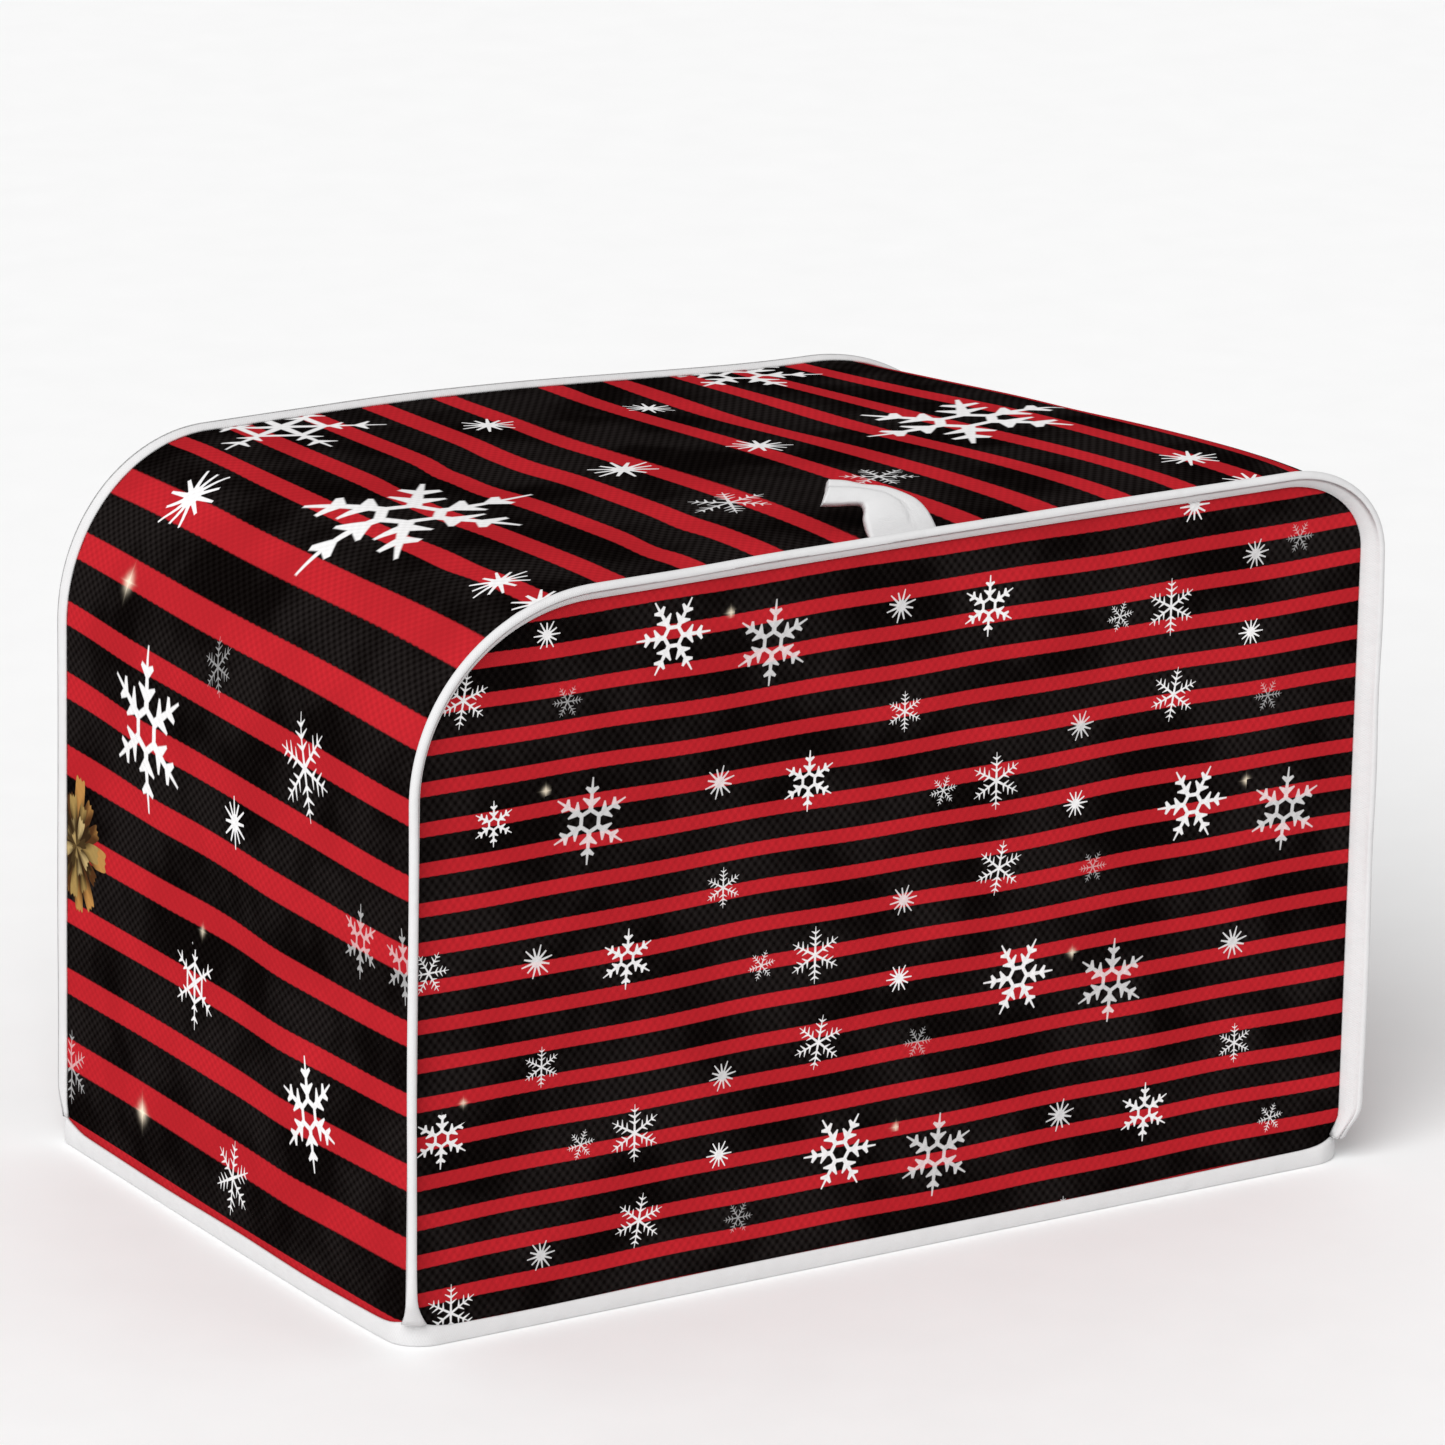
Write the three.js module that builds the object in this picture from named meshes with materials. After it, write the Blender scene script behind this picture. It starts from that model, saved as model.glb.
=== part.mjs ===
// A fitted cover for a two-slice toaster, sewn from printed padded knit and bound with white tape.
// It is empty and stands on its hem. Millimetres, +Z up, front face towards -Y, +X to the right.
// The origin is on the surface, below the middle of the cover.
import * as THREE from "three";

// Driving sizes
const LENGTH = 305; // between the outer faces of the left and right walls
const DEPTH = 190; // between the outer faces of the front and back panels
const HEIGHT = 202; // from the surface to the front top seam
const CLOTH = 2.4; // thickness of the padded knit
const TAPE = 1; // thickness of the binding tape
const GAP = 0.3; // left between two pieces that are sewn together

// Hem binding
const HEM_HEIGHT = 5; // how far the tape comes up the outside
const HEM_CORNER_RISE = 1.6; // how far the tape climbs at the corner
const HEM_RISE_REACH = 6; // along the wall from the corner
const HEM_FOOT_BEVEL = { across: 0.5, up: 0.7 }; // of the outer leg's lower edge
const HEM_TOP_BEVEL = { across: 0.4, up: 0.5 }; // and of its upper edge
const CLOTH_FOOT = TAPE + GAP; // the cloth's lower edge, inside the tape

// The upright corners are sharp, and drawn in to round ones at the hem.
const FRONT_FOOT_CORNER = 9; // radius of the two at the front
const BACK_FOOT_CORNER = 3; // and of the two at the back
const FOOT_CORNER_FADE = 13; // the height over which the rounding dies out above the hem
const MITRE = 0.22; // half the gap between two cloths that meet at a corner

// Seam bindings: bars that stand out of the corners between strip and panels.
// width: from the corner to the tip. lean: degrees, from square to the strip (0) to square to the panel (90).
// Both are given at the ends of the seam's five stretches, from the left hem to the right one.
// tuck: share of its width that it loses where it enters the hem.
const FRONT_BINDING = {
  thickness: 2.6, width: [5.8, 5.8, 5, 5, 6.3, 6.3], lean: [62, 52, 42, 42, 46, 46], tuck: 0.2,
};
const BACK_BINDING = {
  thickness: 2.4, width: [3.4, 3.4, 3.1, 2.9, 3.2, 3.4], lean: [88, 88, 74, 84, 80, 84], tuck: 0.3,
};
const BINDING_LAP = 0.9; // how far the tape's root lies over the cloth on either side
const BINDING_TUCK_REACH = 12; // the height above the hem over which it narrows
const BINDING_ROUNDING = 0.55; // of the tip, as a share of half the thickness
const BINDING_FOOT = HEM_HEIGHT + HEM_CORNER_RISE + GAP;

// The two seam lines. run and drop: how far a rounded corner reaches along the top and down the wall.
// crown: rise of the top edge in its middle. fall: how much lower its right end is than its left one.
const FRONT_SEAM = {
  y: -DEPTH / 2, side: -1, leftRun: 52.4, leftDrop: 49.5, rightRun: 28, rightDrop: 22, crown: 0.5, fall: 0,
};
const BACK_SEAM = {
  y: DEPTH / 2, side: 1, leftRun: 44.6, leftDrop: 49.8, rightRun: 59.8, rightDrop: 55, crown: 1.9, fall: 6.1,
};

// How far the strip swells outwards between its seams, at the ends of its five stretches,
// and how far its fullest line lies towards the front (1 is the middle).
const STRIP_SWELL = [2, 1.4, 1.8, 3.4, 6.2, 2];
const STRIP_SWELL_SKEW = 0.5;

// Soft folds of the strip. along: from the left hem, on the cloth. across: from the middle towards the back.
// turn: degrees from the strip's length. long, wide: half lengths. rise: outwards, or inwards if negative.
const STRIP_FOLDS = [
  { along: 62, across: -30, turn: 12, long: 55, wide: 17, rise: 1.3 },
  { along: 95, across: 18, turn: 70, long: 60, wide: 15, rise: -1.2 },
  { along: 128, across: 48, turn: 25, long: 45, wide: 16, rise: 1.1 },
  { along: 190, across: 55, turn: 60, long: 50, wide: 17, rise: 1.2 },
  { along: 262, across: 8, turn: 35, long: 48, wide: 15, rise: -1.5 },
  { along: 318, across: -32, turn: 70, long: 52, wide: 18, rise: 1 },
  { along: 372, across: 36, turn: 115, long: 55, wide: 18, rise: -1.2 },
  { along: 432, across: -8, turn: 75, long: 48, wide: 17, rise: 1.2 },
  { along: 492, across: 30, turn: 40, long: 42, wide: 15, rise: -1.1 },
  { along: 560, across: -20, turn: 20, long: 55, wide: 17, rise: 1.3 },
  { along: 605, across: 38, turn: 110, long: 50, wide: 16, rise: -1 },
];

// Soft folds of the panels. along: from the middle to the right, seen from the front. up: from the surface.
const FRONT_FOLDS = [
  { along: -96, up: 118, turn: 62, long: 62, wide: 17, rise: 1.1 },
  { along: -38, up: 62, turn: 100, long: 58, wide: 18, rise: -0.9 },
  { along: 34, up: 132, turn: 75, long: 60, wide: 19, rise: 0.9 },
  { along: 92, up: 74, turn: 118, long: 60, wide: 17, rise: -1 },
];
const BACK_FOLDS = [
  { along: -88, up: 84, turn: 110, long: 62, wide: 18, rise: 1.2 },
  { along: -22, up: 128, turn: 78, long: 58, wide: 19, rise: -1 },
  { along: 44, up: 70, turn: 64, long: 60, wide: 18, rise: 1.1 },
  { along: 104, up: 116, turn: 98, long: 56, wide: 17, rise: -0.9 },
];
const FOLD_FADE = 16; // the folds die out over this distance to a seam or the hem

// Pull loop: two tape legs side by side in the seam, turned left and pressed together.
const LOOP_LEAN = 45; // degrees back from upright
const LOOP_THICKNESS = 2.6;
const LOOP_FOOT = new THREE.Vector3(-3, FRONT_SEAM.y + 3.2, HEIGHT + 2.4);
// Cross-sections from the seam to the free end, in the leaning plane: x to the right, up from the seam.
// inner: the edge on the left and underneath. crease: the line where the legs meet. outer: the other edge.
// tilt: degrees that the section is turned back from upright.
const LOOP_SECTIONS = [
  { inner: [-6.6, 0], crease: [5.2, 0], outer: [14.5, 0], tilt: 0 },
  { inner: [-6.6, 3], crease: [5.3, 3], outer: [14.2, 3], tilt: 30 },
  { inner: [-6.2, 5.7], crease: [5.4, 6.1], outer: [13.2, 6.5], tilt: 45 },
  { inner: [-5, 8.1], crease: [4.8, 8.9], outer: [10.8, 9.9], tilt: 45 },
  { inner: [-5.2, 9.9], crease: [1.4, 11.9], outer: [4.6, 13.8], tilt: 45 },
  { inner: [-8.4, 10.6], crease: [-4, 13.9], outer: [-2.4, 15.8], tilt: 45 },
  { inner: [-12.4, 11], crease: [-8.8, 14.9], outer: [-7, 17.6], tilt: 45 },
  { inner: [-17.2, 11.7], crease: [-13.8, 15.7], outer: [-12, 18.7], tilt: 45 },
];
const LOOP_CREASE_LIFT = 0.7; // how far the crease stands out of the flat

const NUDGE = 1e-3; // step in u to read a curve's direction

// Mesh steps: along the strip's shoulders and top, and away from the hem and from the seams
const STRETCH_STEPS = [10, 8, 17, 8, 10];
const FOOT_STEPS = [3, BINDING_FOOT - CLOTH_FOOT, 10, 16]; // millimetres above the cloth's lower edge
const SEAM_STEPS = [2.4, 4.8, 7.6]; // millimetres in from a seam
const STRIP_STEPS = 12; // between those
const PANEL_STEPS = 9; // above the foot's steps
const HEM_STEPS = 12; // along each wall
const HEM_CORNER_STEPS = 6; // round each corner

const WHITE_TAPE = { color: 0xe9e9e9, roughness: 0.75, metalness: 0 };
const PRINTED_KNIT = { color: 0x171516, roughness: 0.85, metalness: 0 };

const smooth = (v) => v * v * (3 - 2 * v);
const lerp = THREE.MathUtils.lerp;
const radians = THREE.MathUtils.degToRad;

// The seam's point at u, in the X-Z plane. u counts the five stretches: left wall from 0 to 1,
// left shoulder to 2, top to 3, right shoulder to 4, right wall down to 5.
function seamPoint(seam, u) {
  const stretch = Math.min(Math.floor(u), 4);
  const v = u - stretch;
  const turn = (v * Math.PI) / 2;
  const rightTop = HEIGHT - seam.fall;
  if (stretch === 0)
    return new THREE.Vector2(-LENGTH / 2, lerp(CLOTH_FOOT, HEIGHT - seam.leftDrop, v));
  if (stretch === 1)
    return new THREE.Vector2(
      -LENGTH / 2 + seam.leftRun * (1 - Math.cos(turn)),
      HEIGHT - seam.leftDrop * (1 - Math.sin(turn)),
    );
  if (stretch === 2)
    return new THREE.Vector2(
      lerp(-LENGTH / 2 + seam.leftRun, LENGTH / 2 - seam.rightRun, v),
      HEIGHT + 16 * seam.crown * (v * (1 - v)) ** 2 - seam.fall * smooth(v),
    );
  if (stretch === 3)
    return new THREE.Vector2(
      LENGTH / 2 - seam.rightRun * (1 - Math.sin(turn)),
      rightTop - seam.rightDrop * (1 - Math.cos(turn)),
    );
  return new THREE.Vector2(LENGTH / 2, lerp(rightTop - seam.rightDrop, CLOTH_FOOT, v));
}

// Places from 0 to length: at the given first ones, and then evenly spaced.
function spaced(length, first, steps) {
  const start = first[first.length - 1];
  const rest = Array.from({ length: steps }, (_, i) => lerp(start, length, (i + 1) / steps));
  return [0, ...first, ...rest];
}

// The stations u of a seam line: closer together above the hem at either end.
function seamStations(seam) {
  const wall = (drop) => {
    const length = HEIGHT - drop - CLOTH_FOOT;
    return spaced(length, FOOT_STEPS, STRETCH_STEPS[0]).map((z) => z / length);
  };
  const left = wall(seam.leftDrop);
  const right = wall(seam.rightDrop + seam.fall).map((v) => 5 - v);
  return [...left, ...shoulderStations().slice(1, -1), ...right.reverse()];
}

// The stations u from the top of the left wall to the top of the right one.
function shoulderStations() {
  const found = [1];
  for (let stretch = 1; stretch < 4; stretch++)
    for (let i = 1; i <= STRETCH_STEPS[stretch]; i++) found.push(stretch + i / STRETCH_STEPS[stretch]);
  return found;
}

// A value given at the ends of the five stretches, read at u.
function along(values, u) {
  const stretch = Math.min(Math.floor(u), 4);
  return lerp(values[stretch], values[stretch + 1], u - stretch);
}

// The unit vector square to a curve in the X-Z plane, pointing out of the cover.
function outward(curve, u) {
  const direction = curve(Math.min(u + NUDGE, 5)).sub(curve(Math.max(u - NUDGE, 0))).normalize();
  return new THREE.Vector2(-direction.y, direction.x);
}

// The height of a set of soft folds at a point of the cloth.
function foldRise(folds, x, y) {
  let rise = 0;
  for (const fold of folds) {
    const turn = radians(fold.turn);
    const dx = x - fold.along;
    const dy = y - (fold.across ?? fold.up);
    const lengthwise = dx * Math.cos(turn) + dy * Math.sin(turn);
    const crosswise = dy * Math.cos(turn) - dx * Math.sin(turn);
    rise += fold.rise * Math.exp(-((lengthwise / fold.long) ** 2) - (crosswise / fold.wide) ** 2);
  }
  return rise;
}

// 0 at an edge of the cloth, 1 from FOLD_FADE inwards.
const fade = (distance) => smooth(THREE.MathUtils.clamp(distance / FOLD_FADE, 0, 1));

// The radius of a corner at the hem. side: below 0 at the front.
const footCorner = (side) => (side < 0 ? FRONT_FOOT_CORNER : BACK_FOOT_CORNER);

// How a wall is drawn in at the hem's round corners. distance: along the wall from its sharp corner.
// inward: square to the wall. aside: along it, away from the corner. depth: from the cloth's outer face.
function drawnIn(distance, z, side, depth = 0) {
  const above = smooth(THREE.MathUtils.clamp((z - HEM_HEIGHT) / FOOT_CORNER_FADE, 0, 1));
  const radius = Math.max(footCorner(side) * (1 - above) - depth, 0);
  if (distance >= radius) return { inward: 0, aside: 0 };
  const turn = (1 - distance / radius) * (Math.PI / 4);
  return { inward: radius * (1 - Math.cos(turn)), aside: radius * (1 - Math.sin(turn)) - distance };
}

// Turns a closed triangle list so that its faces point outwards.
function closedGeometry(points, faces) {
  let volume = 0;
  for (const [a, b, c] of faces)
    volume += points[a].dot(new THREE.Vector3().crossVectors(points[b], points[c]));
  if (volume < 0) faces.forEach((face) => face.reverse());
  const geometry = new THREE.BufferGeometry().setFromPoints(points);
  geometry.setIndex(faces.flat());
  geometry.computeVertexNormals();
  return geometry;
}

// A closed sheet between two grids of points, outer and inner, of the same rows and columns.
function sheetGeometry(outer, inner) {
  const rows = outer.length;
  const columns = outer[0].length;
  const points = [...outer.flat(), ...inner.flat()];
  const half = rows * columns;
  const at = (row, column) => row * columns + column;
  const faces = [];
  const quad = (a, b, c, d) => faces.push([a, b, c], [a, c, d]);
  for (let row = 0; row + 1 < rows; row++)
    for (let column = 0; column + 1 < columns; column++) {
      const [a, b] = [at(row, column), at(row, column + 1)];
      const [c, d] = [at(row + 1, column + 1), at(row + 1, column)];
      quad(a, b, c, d);
      quad(d + half, c + half, b + half, a + half);
    }
  const rim = [];
  for (let column = 0; column + 1 < columns; column++) rim.push(at(0, column));
  for (let row = 0; row + 1 < rows; row++) rim.push(at(row, columns - 1));
  for (let column = columns - 1; column > 0; column--) rim.push(at(rows - 1, column));
  for (let row = rows - 1; row > 0; row--) rim.push(at(row, 0));
  rim.forEach((a, i) => {
    const b = rim[(i + 1) % rim.length];
    quad(b, a, a + half, b + half);
  });
  return closedGeometry(points, faces);
}

// A closed bar through rings of points. A looped bar joins its last ring to its first,
// an open one is capped with the triangles of cap, a flat outline like the rings.
function barGeometry(rings, cap) {
  const sides = rings[0].length;
  const faces = [];
  const last = cap ? rings.length - 1 : rings.length;
  for (let ring = 0; ring < last; ring++) {
    const next = ((ring + 1) % rings.length) * sides;
    for (let i = 0; i < sides; i++) {
      const j = (i + 1) % sides;
      const start = ring * sides;
      faces.push([start + i, start + j, next + j], [start + i, next + j, next + i]);
    }
  }
  if (cap) {
    const end = (rings.length - 1) * sides;
    const clockwise = THREE.ShapeUtils.isClockWise(cap);
    for (const [a, b, c] of THREE.ShapeUtils.triangulateShape(cap, [])) {
      faces.push(clockwise ? [a, b, c] : [a, c, b]);
      faces.push(clockwise ? [end + a, end + c, end + b] : [end + a, end + b, end + c]);
    }
  }
  return closedGeometry(rings.flat(), faces);
}

function piece(name, geometry, finish) {
  const mesh = new THREE.Mesh(geometry, new THREE.MeshStandardMaterial({ ...finish, name }));
  mesh.name = name;
  return mesh;
}

// How far the strip stands out of the straight lines between its seams. share: from front to back.
const stripSwell = (u, share) => along(STRIP_SWELL, u) * Math.sin(Math.PI * share ** STRIP_SWELL_SKEW);

// The strip: left wall, top and right wall in one length, mitred against the two panels.
function makeGusset() {
  const middle = (u) => seamPoint(FRONT_SEAM, u).lerp(seamPoint(BACK_SEAM, u), 0.5);
  const stations = seamStations(FRONT_SEAM);
  const lengths = [0];
  for (let i = 1; i < stations.length; i++)
    lengths.push(lengths[i - 1] + middle(stations[i]).distanceTo(middle(stations[i - 1])));
  const half = spaced(DEPTH / 2, SEAM_STEPS, STRIP_STEPS / 2).map((y) => y / DEPTH);
  const shares = [...half, ...half.slice(0, -1).reverse().map((share) => 1 - share)];
  const layer = (depth) =>
    stations.map((u, i) => {
      const normal = outward(middle, u);
      const edge = MITRE + depth;
      return shares.map((step) => {
        const y = lerp(FRONT_SEAM.y + edge, BACK_SEAM.y - edge, step);
        const toSeam = DEPTH / 2 - Math.abs(y);
        const share = (y - FRONT_SEAM.y) / DEPTH;
        const line = seamPoint(FRONT_SEAM, u).lerp(seamPoint(BACK_SEAM, u), share);
        const flat = fade(toSeam) * fade(line.y - HEM_HEIGHT);
        const corner = drawnIn(toSeam - depth, line.y, y, depth);
        const folded = flat * foldRise(STRIP_FOLDS, lengths[i], y);
        const rise = stripSwell(u, share) + folded - corner.inward - depth;
        return new THREE.Vector3(
          line.x + normal.x * rise,
          y - Math.sign(y) * corner.aside,
          line.y + normal.y * rise,
        );
      });
    });
  return piece("gusset", sheetGeometry(layer(0), layer(CLOTH)), PRINTED_KNIT);
}

// A panel fills its seam line: each column runs from the foot to the line's height there.
function makePanel(name, seam, folds) {
  const line = (u) => seamPoint(seam, u);
  const layer = (depth) =>
    shoulderStations().map((u) => {
      const top = line(u).addScaledVector(outward(line, u), -MITRE - depth);
      return spaced(top.y - CLOTH_FOOT, FOOT_STEPS, PANEL_STEPS).map((up) => {
        const z = CLOTH_FOOT + up;
        const toWall = LENGTH / 2 - Math.abs(top.x);
        const flat = fade(Math.min(toWall, top.y - z, z - HEM_HEIGHT));
        const corner = drawnIn(toWall - depth, z, seam.side, depth);
        const out = flat * foldRise(folds, top.x, z) - corner.inward - depth;
        const x = top.x - Math.sign(top.x) * corner.aside;
        return new THREE.Vector3(x, seam.y + seam.side * out, z);
      });
    });
  return piece(name, sheetGeometry(layer(0), layer(CLOTH)), PRINTED_KNIT);
}

// A bound seam in section: x out of the strip, y out of the panel, its root notched over the corner.
// root and lap are how far the corner and the cloth at the tape's two edges are drawn in,
// swell is how far the strip stands out at its edge.
function bindingOutline({ width, lean, thickness, root, lap, swell }) {
  const turn = radians(lean);
  const out = new THREE.Vector2(Math.cos(turn), Math.sin(turn));
  const side = new THREE.Vector2(out.y, -out.x);
  const half = thickness / 2;
  const rounding = half * BINDING_ROUNDING;
  const corner = new THREE.Vector2(-root.inward, -root.inward);
  const tip = (reach, aside) =>
    out.clone().multiplyScalar(reach).addScaledVector(side, aside).add(corner);
  const over = GAP - lap.inward;
  const overStrip = over + swell;
  const beside = -BINDING_LAP - lap.aside;
  const stripFlank = corner.x + (half + (beside - corner.y) * out.x) / out.y;
  return [
    new THREE.Vector2(GAP, GAP).add(corner),
    new THREE.Vector2(overStrip, beside),
    new THREE.Vector2(Math.max(stripFlank, overStrip + GAP), beside),
    tip(width - rounding, half),
    tip(width, half - rounding),
    tip(width, rounding - half),
    tip(width - rounding, -half),
    new THREE.Vector2(beside, Math.max(over + GAP, tip(0, -half).y)),
    new THREE.Vector2(beside, over),
  ];
}

// A seam binding follows its seam line from hem to hem and narrows where it enters the hem.
function makeSeamBinding(name, seam, binding) {
  const line = (u) => seamPoint(seam, u);
  const stations = seamStations(seam).filter((u) => line(u).y > HEM_HEIGHT);
  const outlines = stations.map((u) => {
    const z = line(u).y;
    const above = smooth(Math.min((z - BINDING_FOOT) / BINDING_TUCK_REACH, 1));
    return bindingOutline({
      width: along(binding.width, u) * (1 - binding.tuck * (1 - above)),
      lean: along(binding.lean, u),
      thickness: binding.thickness,
      root: drawnIn(0, z, seam.side),
      lap: drawnIn(BINDING_LAP, z, seam.side),
      swell: stripSwell(u, 0.5 + seam.side * (0.5 - BINDING_LAP / DEPTH)),
    });
  });
  const rings = stations.map((u, i) => {
    const corner = line(u);
    const normal = outward(line, u);
    return outlines[i].map((p) => {
      const [x, z] = [corner.x + normal.x * p.x, corner.y + normal.y * p.x];
      return new THREE.Vector3(x, seam.y + seam.side * p.y, z);
    });
  });
  return piece(name, barGeometry(rings, outlines[0]), WHITE_TAPE);
}

// Plan outline of the hem, grown outwards from the cloth's outer face, anticlockwise from the front
// left corner. Each point keeps its distance to the corner.
function hemOutline(growth) {
  const points = [];
  const halfX = LENGTH / 2 + growth;
  const halfY = DEPTH / 2 + growth;
  const quarter = Array.from({ length: HEM_CORNER_STEPS + 1 }, (_, i) => i / HEM_CORNER_STEPS);
  const arc = quarter.map((share) => (share * Math.PI) / 2);
  const swell = (sx, y) => sx * stripSwell(sx < 0 ? 0 : 5, (y + DEPTH / 2) / DEPTH);
  const run = (from, to) =>
    Array.from({ length: HEM_STEPS - 1 }, (_, i) => lerp(from, to, (i + 1) / HEM_STEPS));
  const add = (x, y, wall = 0) => {
    const distance = Math.hypot(halfX - Math.abs(x), halfY - Math.abs(y));
    const inY = THREE.MathUtils.clamp(y, -DEPTH / 2, DEPTH / 2);
    points.push({ x: x + (wall ? swell(wall, inY) : 0), y, distance });
  };
  const corner = (sx, sy, order) =>
    order.forEach((turn) => {
      const radius = footCorner(sy);
      const x = sx * (halfX - radius * (1 - Math.cos(turn)));
      add(x, sy * (halfY - radius * (1 - Math.sin(turn))), sx);
    });
  const back = [...arc].reverse();
  const frontX = halfX - FRONT_FOOT_CORNER;
  const backX = halfX - BACK_FOOT_CORNER;
  const frontY = FRONT_FOOT_CORNER - halfY;
  const backY = halfY - BACK_FOOT_CORNER;
  corner(-1, -1, arc);
  run(-frontX, frontX).forEach((x) => add(x, -halfY));
  corner(1, -1, back);
  run(frontY, backY).forEach((y) => add(halfX, y, 1));
  corner(1, 1, arc);
  run(backX, -backX).forEach((x) => add(x, halfY));
  corner(-1, 1, back);
  run(backY, frontY).forEach((y) => add(-halfX, y, -1));
  return points;
}

// The hem binding: tape folded under the cloth's lower edge, an upright U in section.
function makeHemBinding() {
  const face = GAP + TAPE;
  const inside = -CLOTH - GAP;
  const section = [
    { growth: face - HEM_FOOT_BEVEL.across, z: 0, climbs: false },
    { growth: face, z: HEM_FOOT_BEVEL.up, climbs: false },
    { growth: face, z: HEM_HEIGHT - HEM_TOP_BEVEL.up, climbs: true },
    { growth: face - HEM_TOP_BEVEL.across, z: HEM_HEIGHT, climbs: true },
    { growth: GAP, z: HEM_HEIGHT, climbs: true },
    { growth: GAP, z: TAPE, climbs: false },
    { growth: inside, z: TAPE, climbs: false },
    { growth: inside, z: HEM_HEIGHT, climbs: false },
    { growth: inside - TAPE, z: HEM_HEIGHT, climbs: false },
    { growth: inside - TAPE, z: 0, climbs: false },
  ];
  const rings = section.map(({ growth, z, climbs }) =>
    hemOutline(growth).map(({ x, y, distance }) => {
      const climb = climbs ? HEM_CORNER_RISE * Math.exp(-((distance / HEM_RISE_REACH) ** 2)) : 0;
      return new THREE.Vector3(x, y, z + climb);
    }),
  );
  return piece("hem_binding", barGeometry(rings), WHITE_TAPE);
}

function makePullLoop() {
  const lean = radians(LOOP_LEAN);
  const place = ([x, up], tilt, depth) =>
    new THREE.Vector3(
      LOOP_FOOT.x + x,
      LOOP_FOOT.y + up * Math.sin(lean) - depth * Math.cos(tilt),
      LOOP_FOOT.z + up * Math.cos(lean) + depth * Math.sin(tilt),
    );
  const half = LOOP_THICKNESS / 2;
  const rings = LOOP_SECTIONS.map(({ inner, crease, outer, tilt }) => {
    const turn = radians(tilt);
    const lift = tilt ? LOOP_CREASE_LIFT : 0;
    return [
      place(inner, turn, half),
      place(crease, turn, half + lift),
      place(outer, turn, half),
      place(outer, turn, -half),
      place(crease, turn, lift - half),
      place(inner, turn, -half),
    ];
  });
  const cap = [0, 1, 2, 2, 1, 0].map((x, i) => new THREE.Vector2(x, i < 3 ? 1 : 0));
  return piece("pull_loop", barGeometry(rings, cap), WHITE_TAPE);
}

const cover = new THREE.Group();
cover.name = "toaster_cover";
cover.add(makePanel("front_panel", FRONT_SEAM, FRONT_FOLDS));
cover.add(makePanel("back_panel", BACK_SEAM, BACK_FOLDS));
cover.add(makeGusset());
cover.add(makeSeamBinding("front_seam_binding", FRONT_SEAM, FRONT_BINDING));
cover.add(makeSeamBinding("back_seam_binding", BACK_SEAM, BACK_BINDING));
cover.add(makeHemBinding());
cover.add(makePullLoop());

// The bindings don't reach equally far on every side, so the whole is centred over the origin.
const centre = new THREE.Box3().setFromObject(cover).getCenter(new THREE.Vector3());
cover.children.forEach((mesh) => mesh.geometry.translate(-centre.x, -centre.y, 0));

export default cover;
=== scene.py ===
"""Looks of a fitted toaster cover: printed padded knit, white bound seams and hem, and a tape pull loop.

Everything is in metres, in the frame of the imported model: the cover stands on its hem at z = 0, its front
panel faces -Y and +X is to the right. The tables of folds and print are written in millimetres.
"""
import math
from collections import namedtuple
from functools import partial, partialmethod

import bpy
import numpy as np
from mathutils import Matrix, Vector


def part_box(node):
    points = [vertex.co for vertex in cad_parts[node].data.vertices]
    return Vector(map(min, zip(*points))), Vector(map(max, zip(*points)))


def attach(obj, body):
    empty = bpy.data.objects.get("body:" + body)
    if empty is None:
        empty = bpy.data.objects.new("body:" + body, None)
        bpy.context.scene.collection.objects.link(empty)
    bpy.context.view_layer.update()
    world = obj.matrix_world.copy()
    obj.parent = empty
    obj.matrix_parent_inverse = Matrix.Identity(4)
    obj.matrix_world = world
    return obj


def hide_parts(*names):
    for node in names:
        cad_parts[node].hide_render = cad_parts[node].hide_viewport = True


bl_info = {
    "name": "Toaster cover",
    "version": (1, 0, 0),
    "blender": (4, 5, 0),
    "location": "3D View > Sidebar > Cover",
    "description": "Builds a fitted cover of printed knit with bound seams, a bound hem and a pull loop",
    "category": "Add Mesh",
}

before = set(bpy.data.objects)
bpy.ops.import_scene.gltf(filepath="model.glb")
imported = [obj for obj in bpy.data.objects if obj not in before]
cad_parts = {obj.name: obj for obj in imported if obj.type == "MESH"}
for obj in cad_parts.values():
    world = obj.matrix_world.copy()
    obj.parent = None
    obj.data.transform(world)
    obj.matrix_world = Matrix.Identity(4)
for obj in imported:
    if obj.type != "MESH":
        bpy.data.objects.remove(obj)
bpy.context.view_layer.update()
BODY = "root"
MM = 0.001

# The cut pieces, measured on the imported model
MITRE = 0.22 * MM  # half the gap where two cloths meet at a corner
CLOTH_FOOT = 1.3 * MM  # the cloth's lower edge, inside the hem tape
PANEL_LOW, PANEL_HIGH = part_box("front_panel")
STRIP_LOW, STRIP_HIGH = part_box("gusset")
LENGTH = PANEL_HIGH.x - PANEL_LOW.x + 2 * MITRE
DEPTH = STRIP_HIGH.y - STRIP_LOW.y + 2 * MITRE
CENTRE = ((PANEL_LOW.x + PANEL_HIGH.x) / 2, (STRIP_LOW.y + STRIP_HIGH.y) / 2)

# A seam line. run and drop: how far a rounded corner reaches along the top and down the wall.
# crown: rise of the top edge in its middle. fall: how much lower its right end is than its left one.
Seam = namedtuple("Seam", "side left_run left_drop right_run right_drop crown fall")
FRONT_SEAM = Seam(-1, 52.4 * MM, 49.5 * MM, 28 * MM, 22 * MM, 0.5 * MM, 0)
BACK_SEAM = Seam(1, 44.6 * MM, 49.8 * MM, 59.8 * MM, 55 * MM, 1.9 * MM, 6.1 * MM)
HEIGHT = PANEL_HIGH.z - FRONT_SEAM.crown + MITRE

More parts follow.
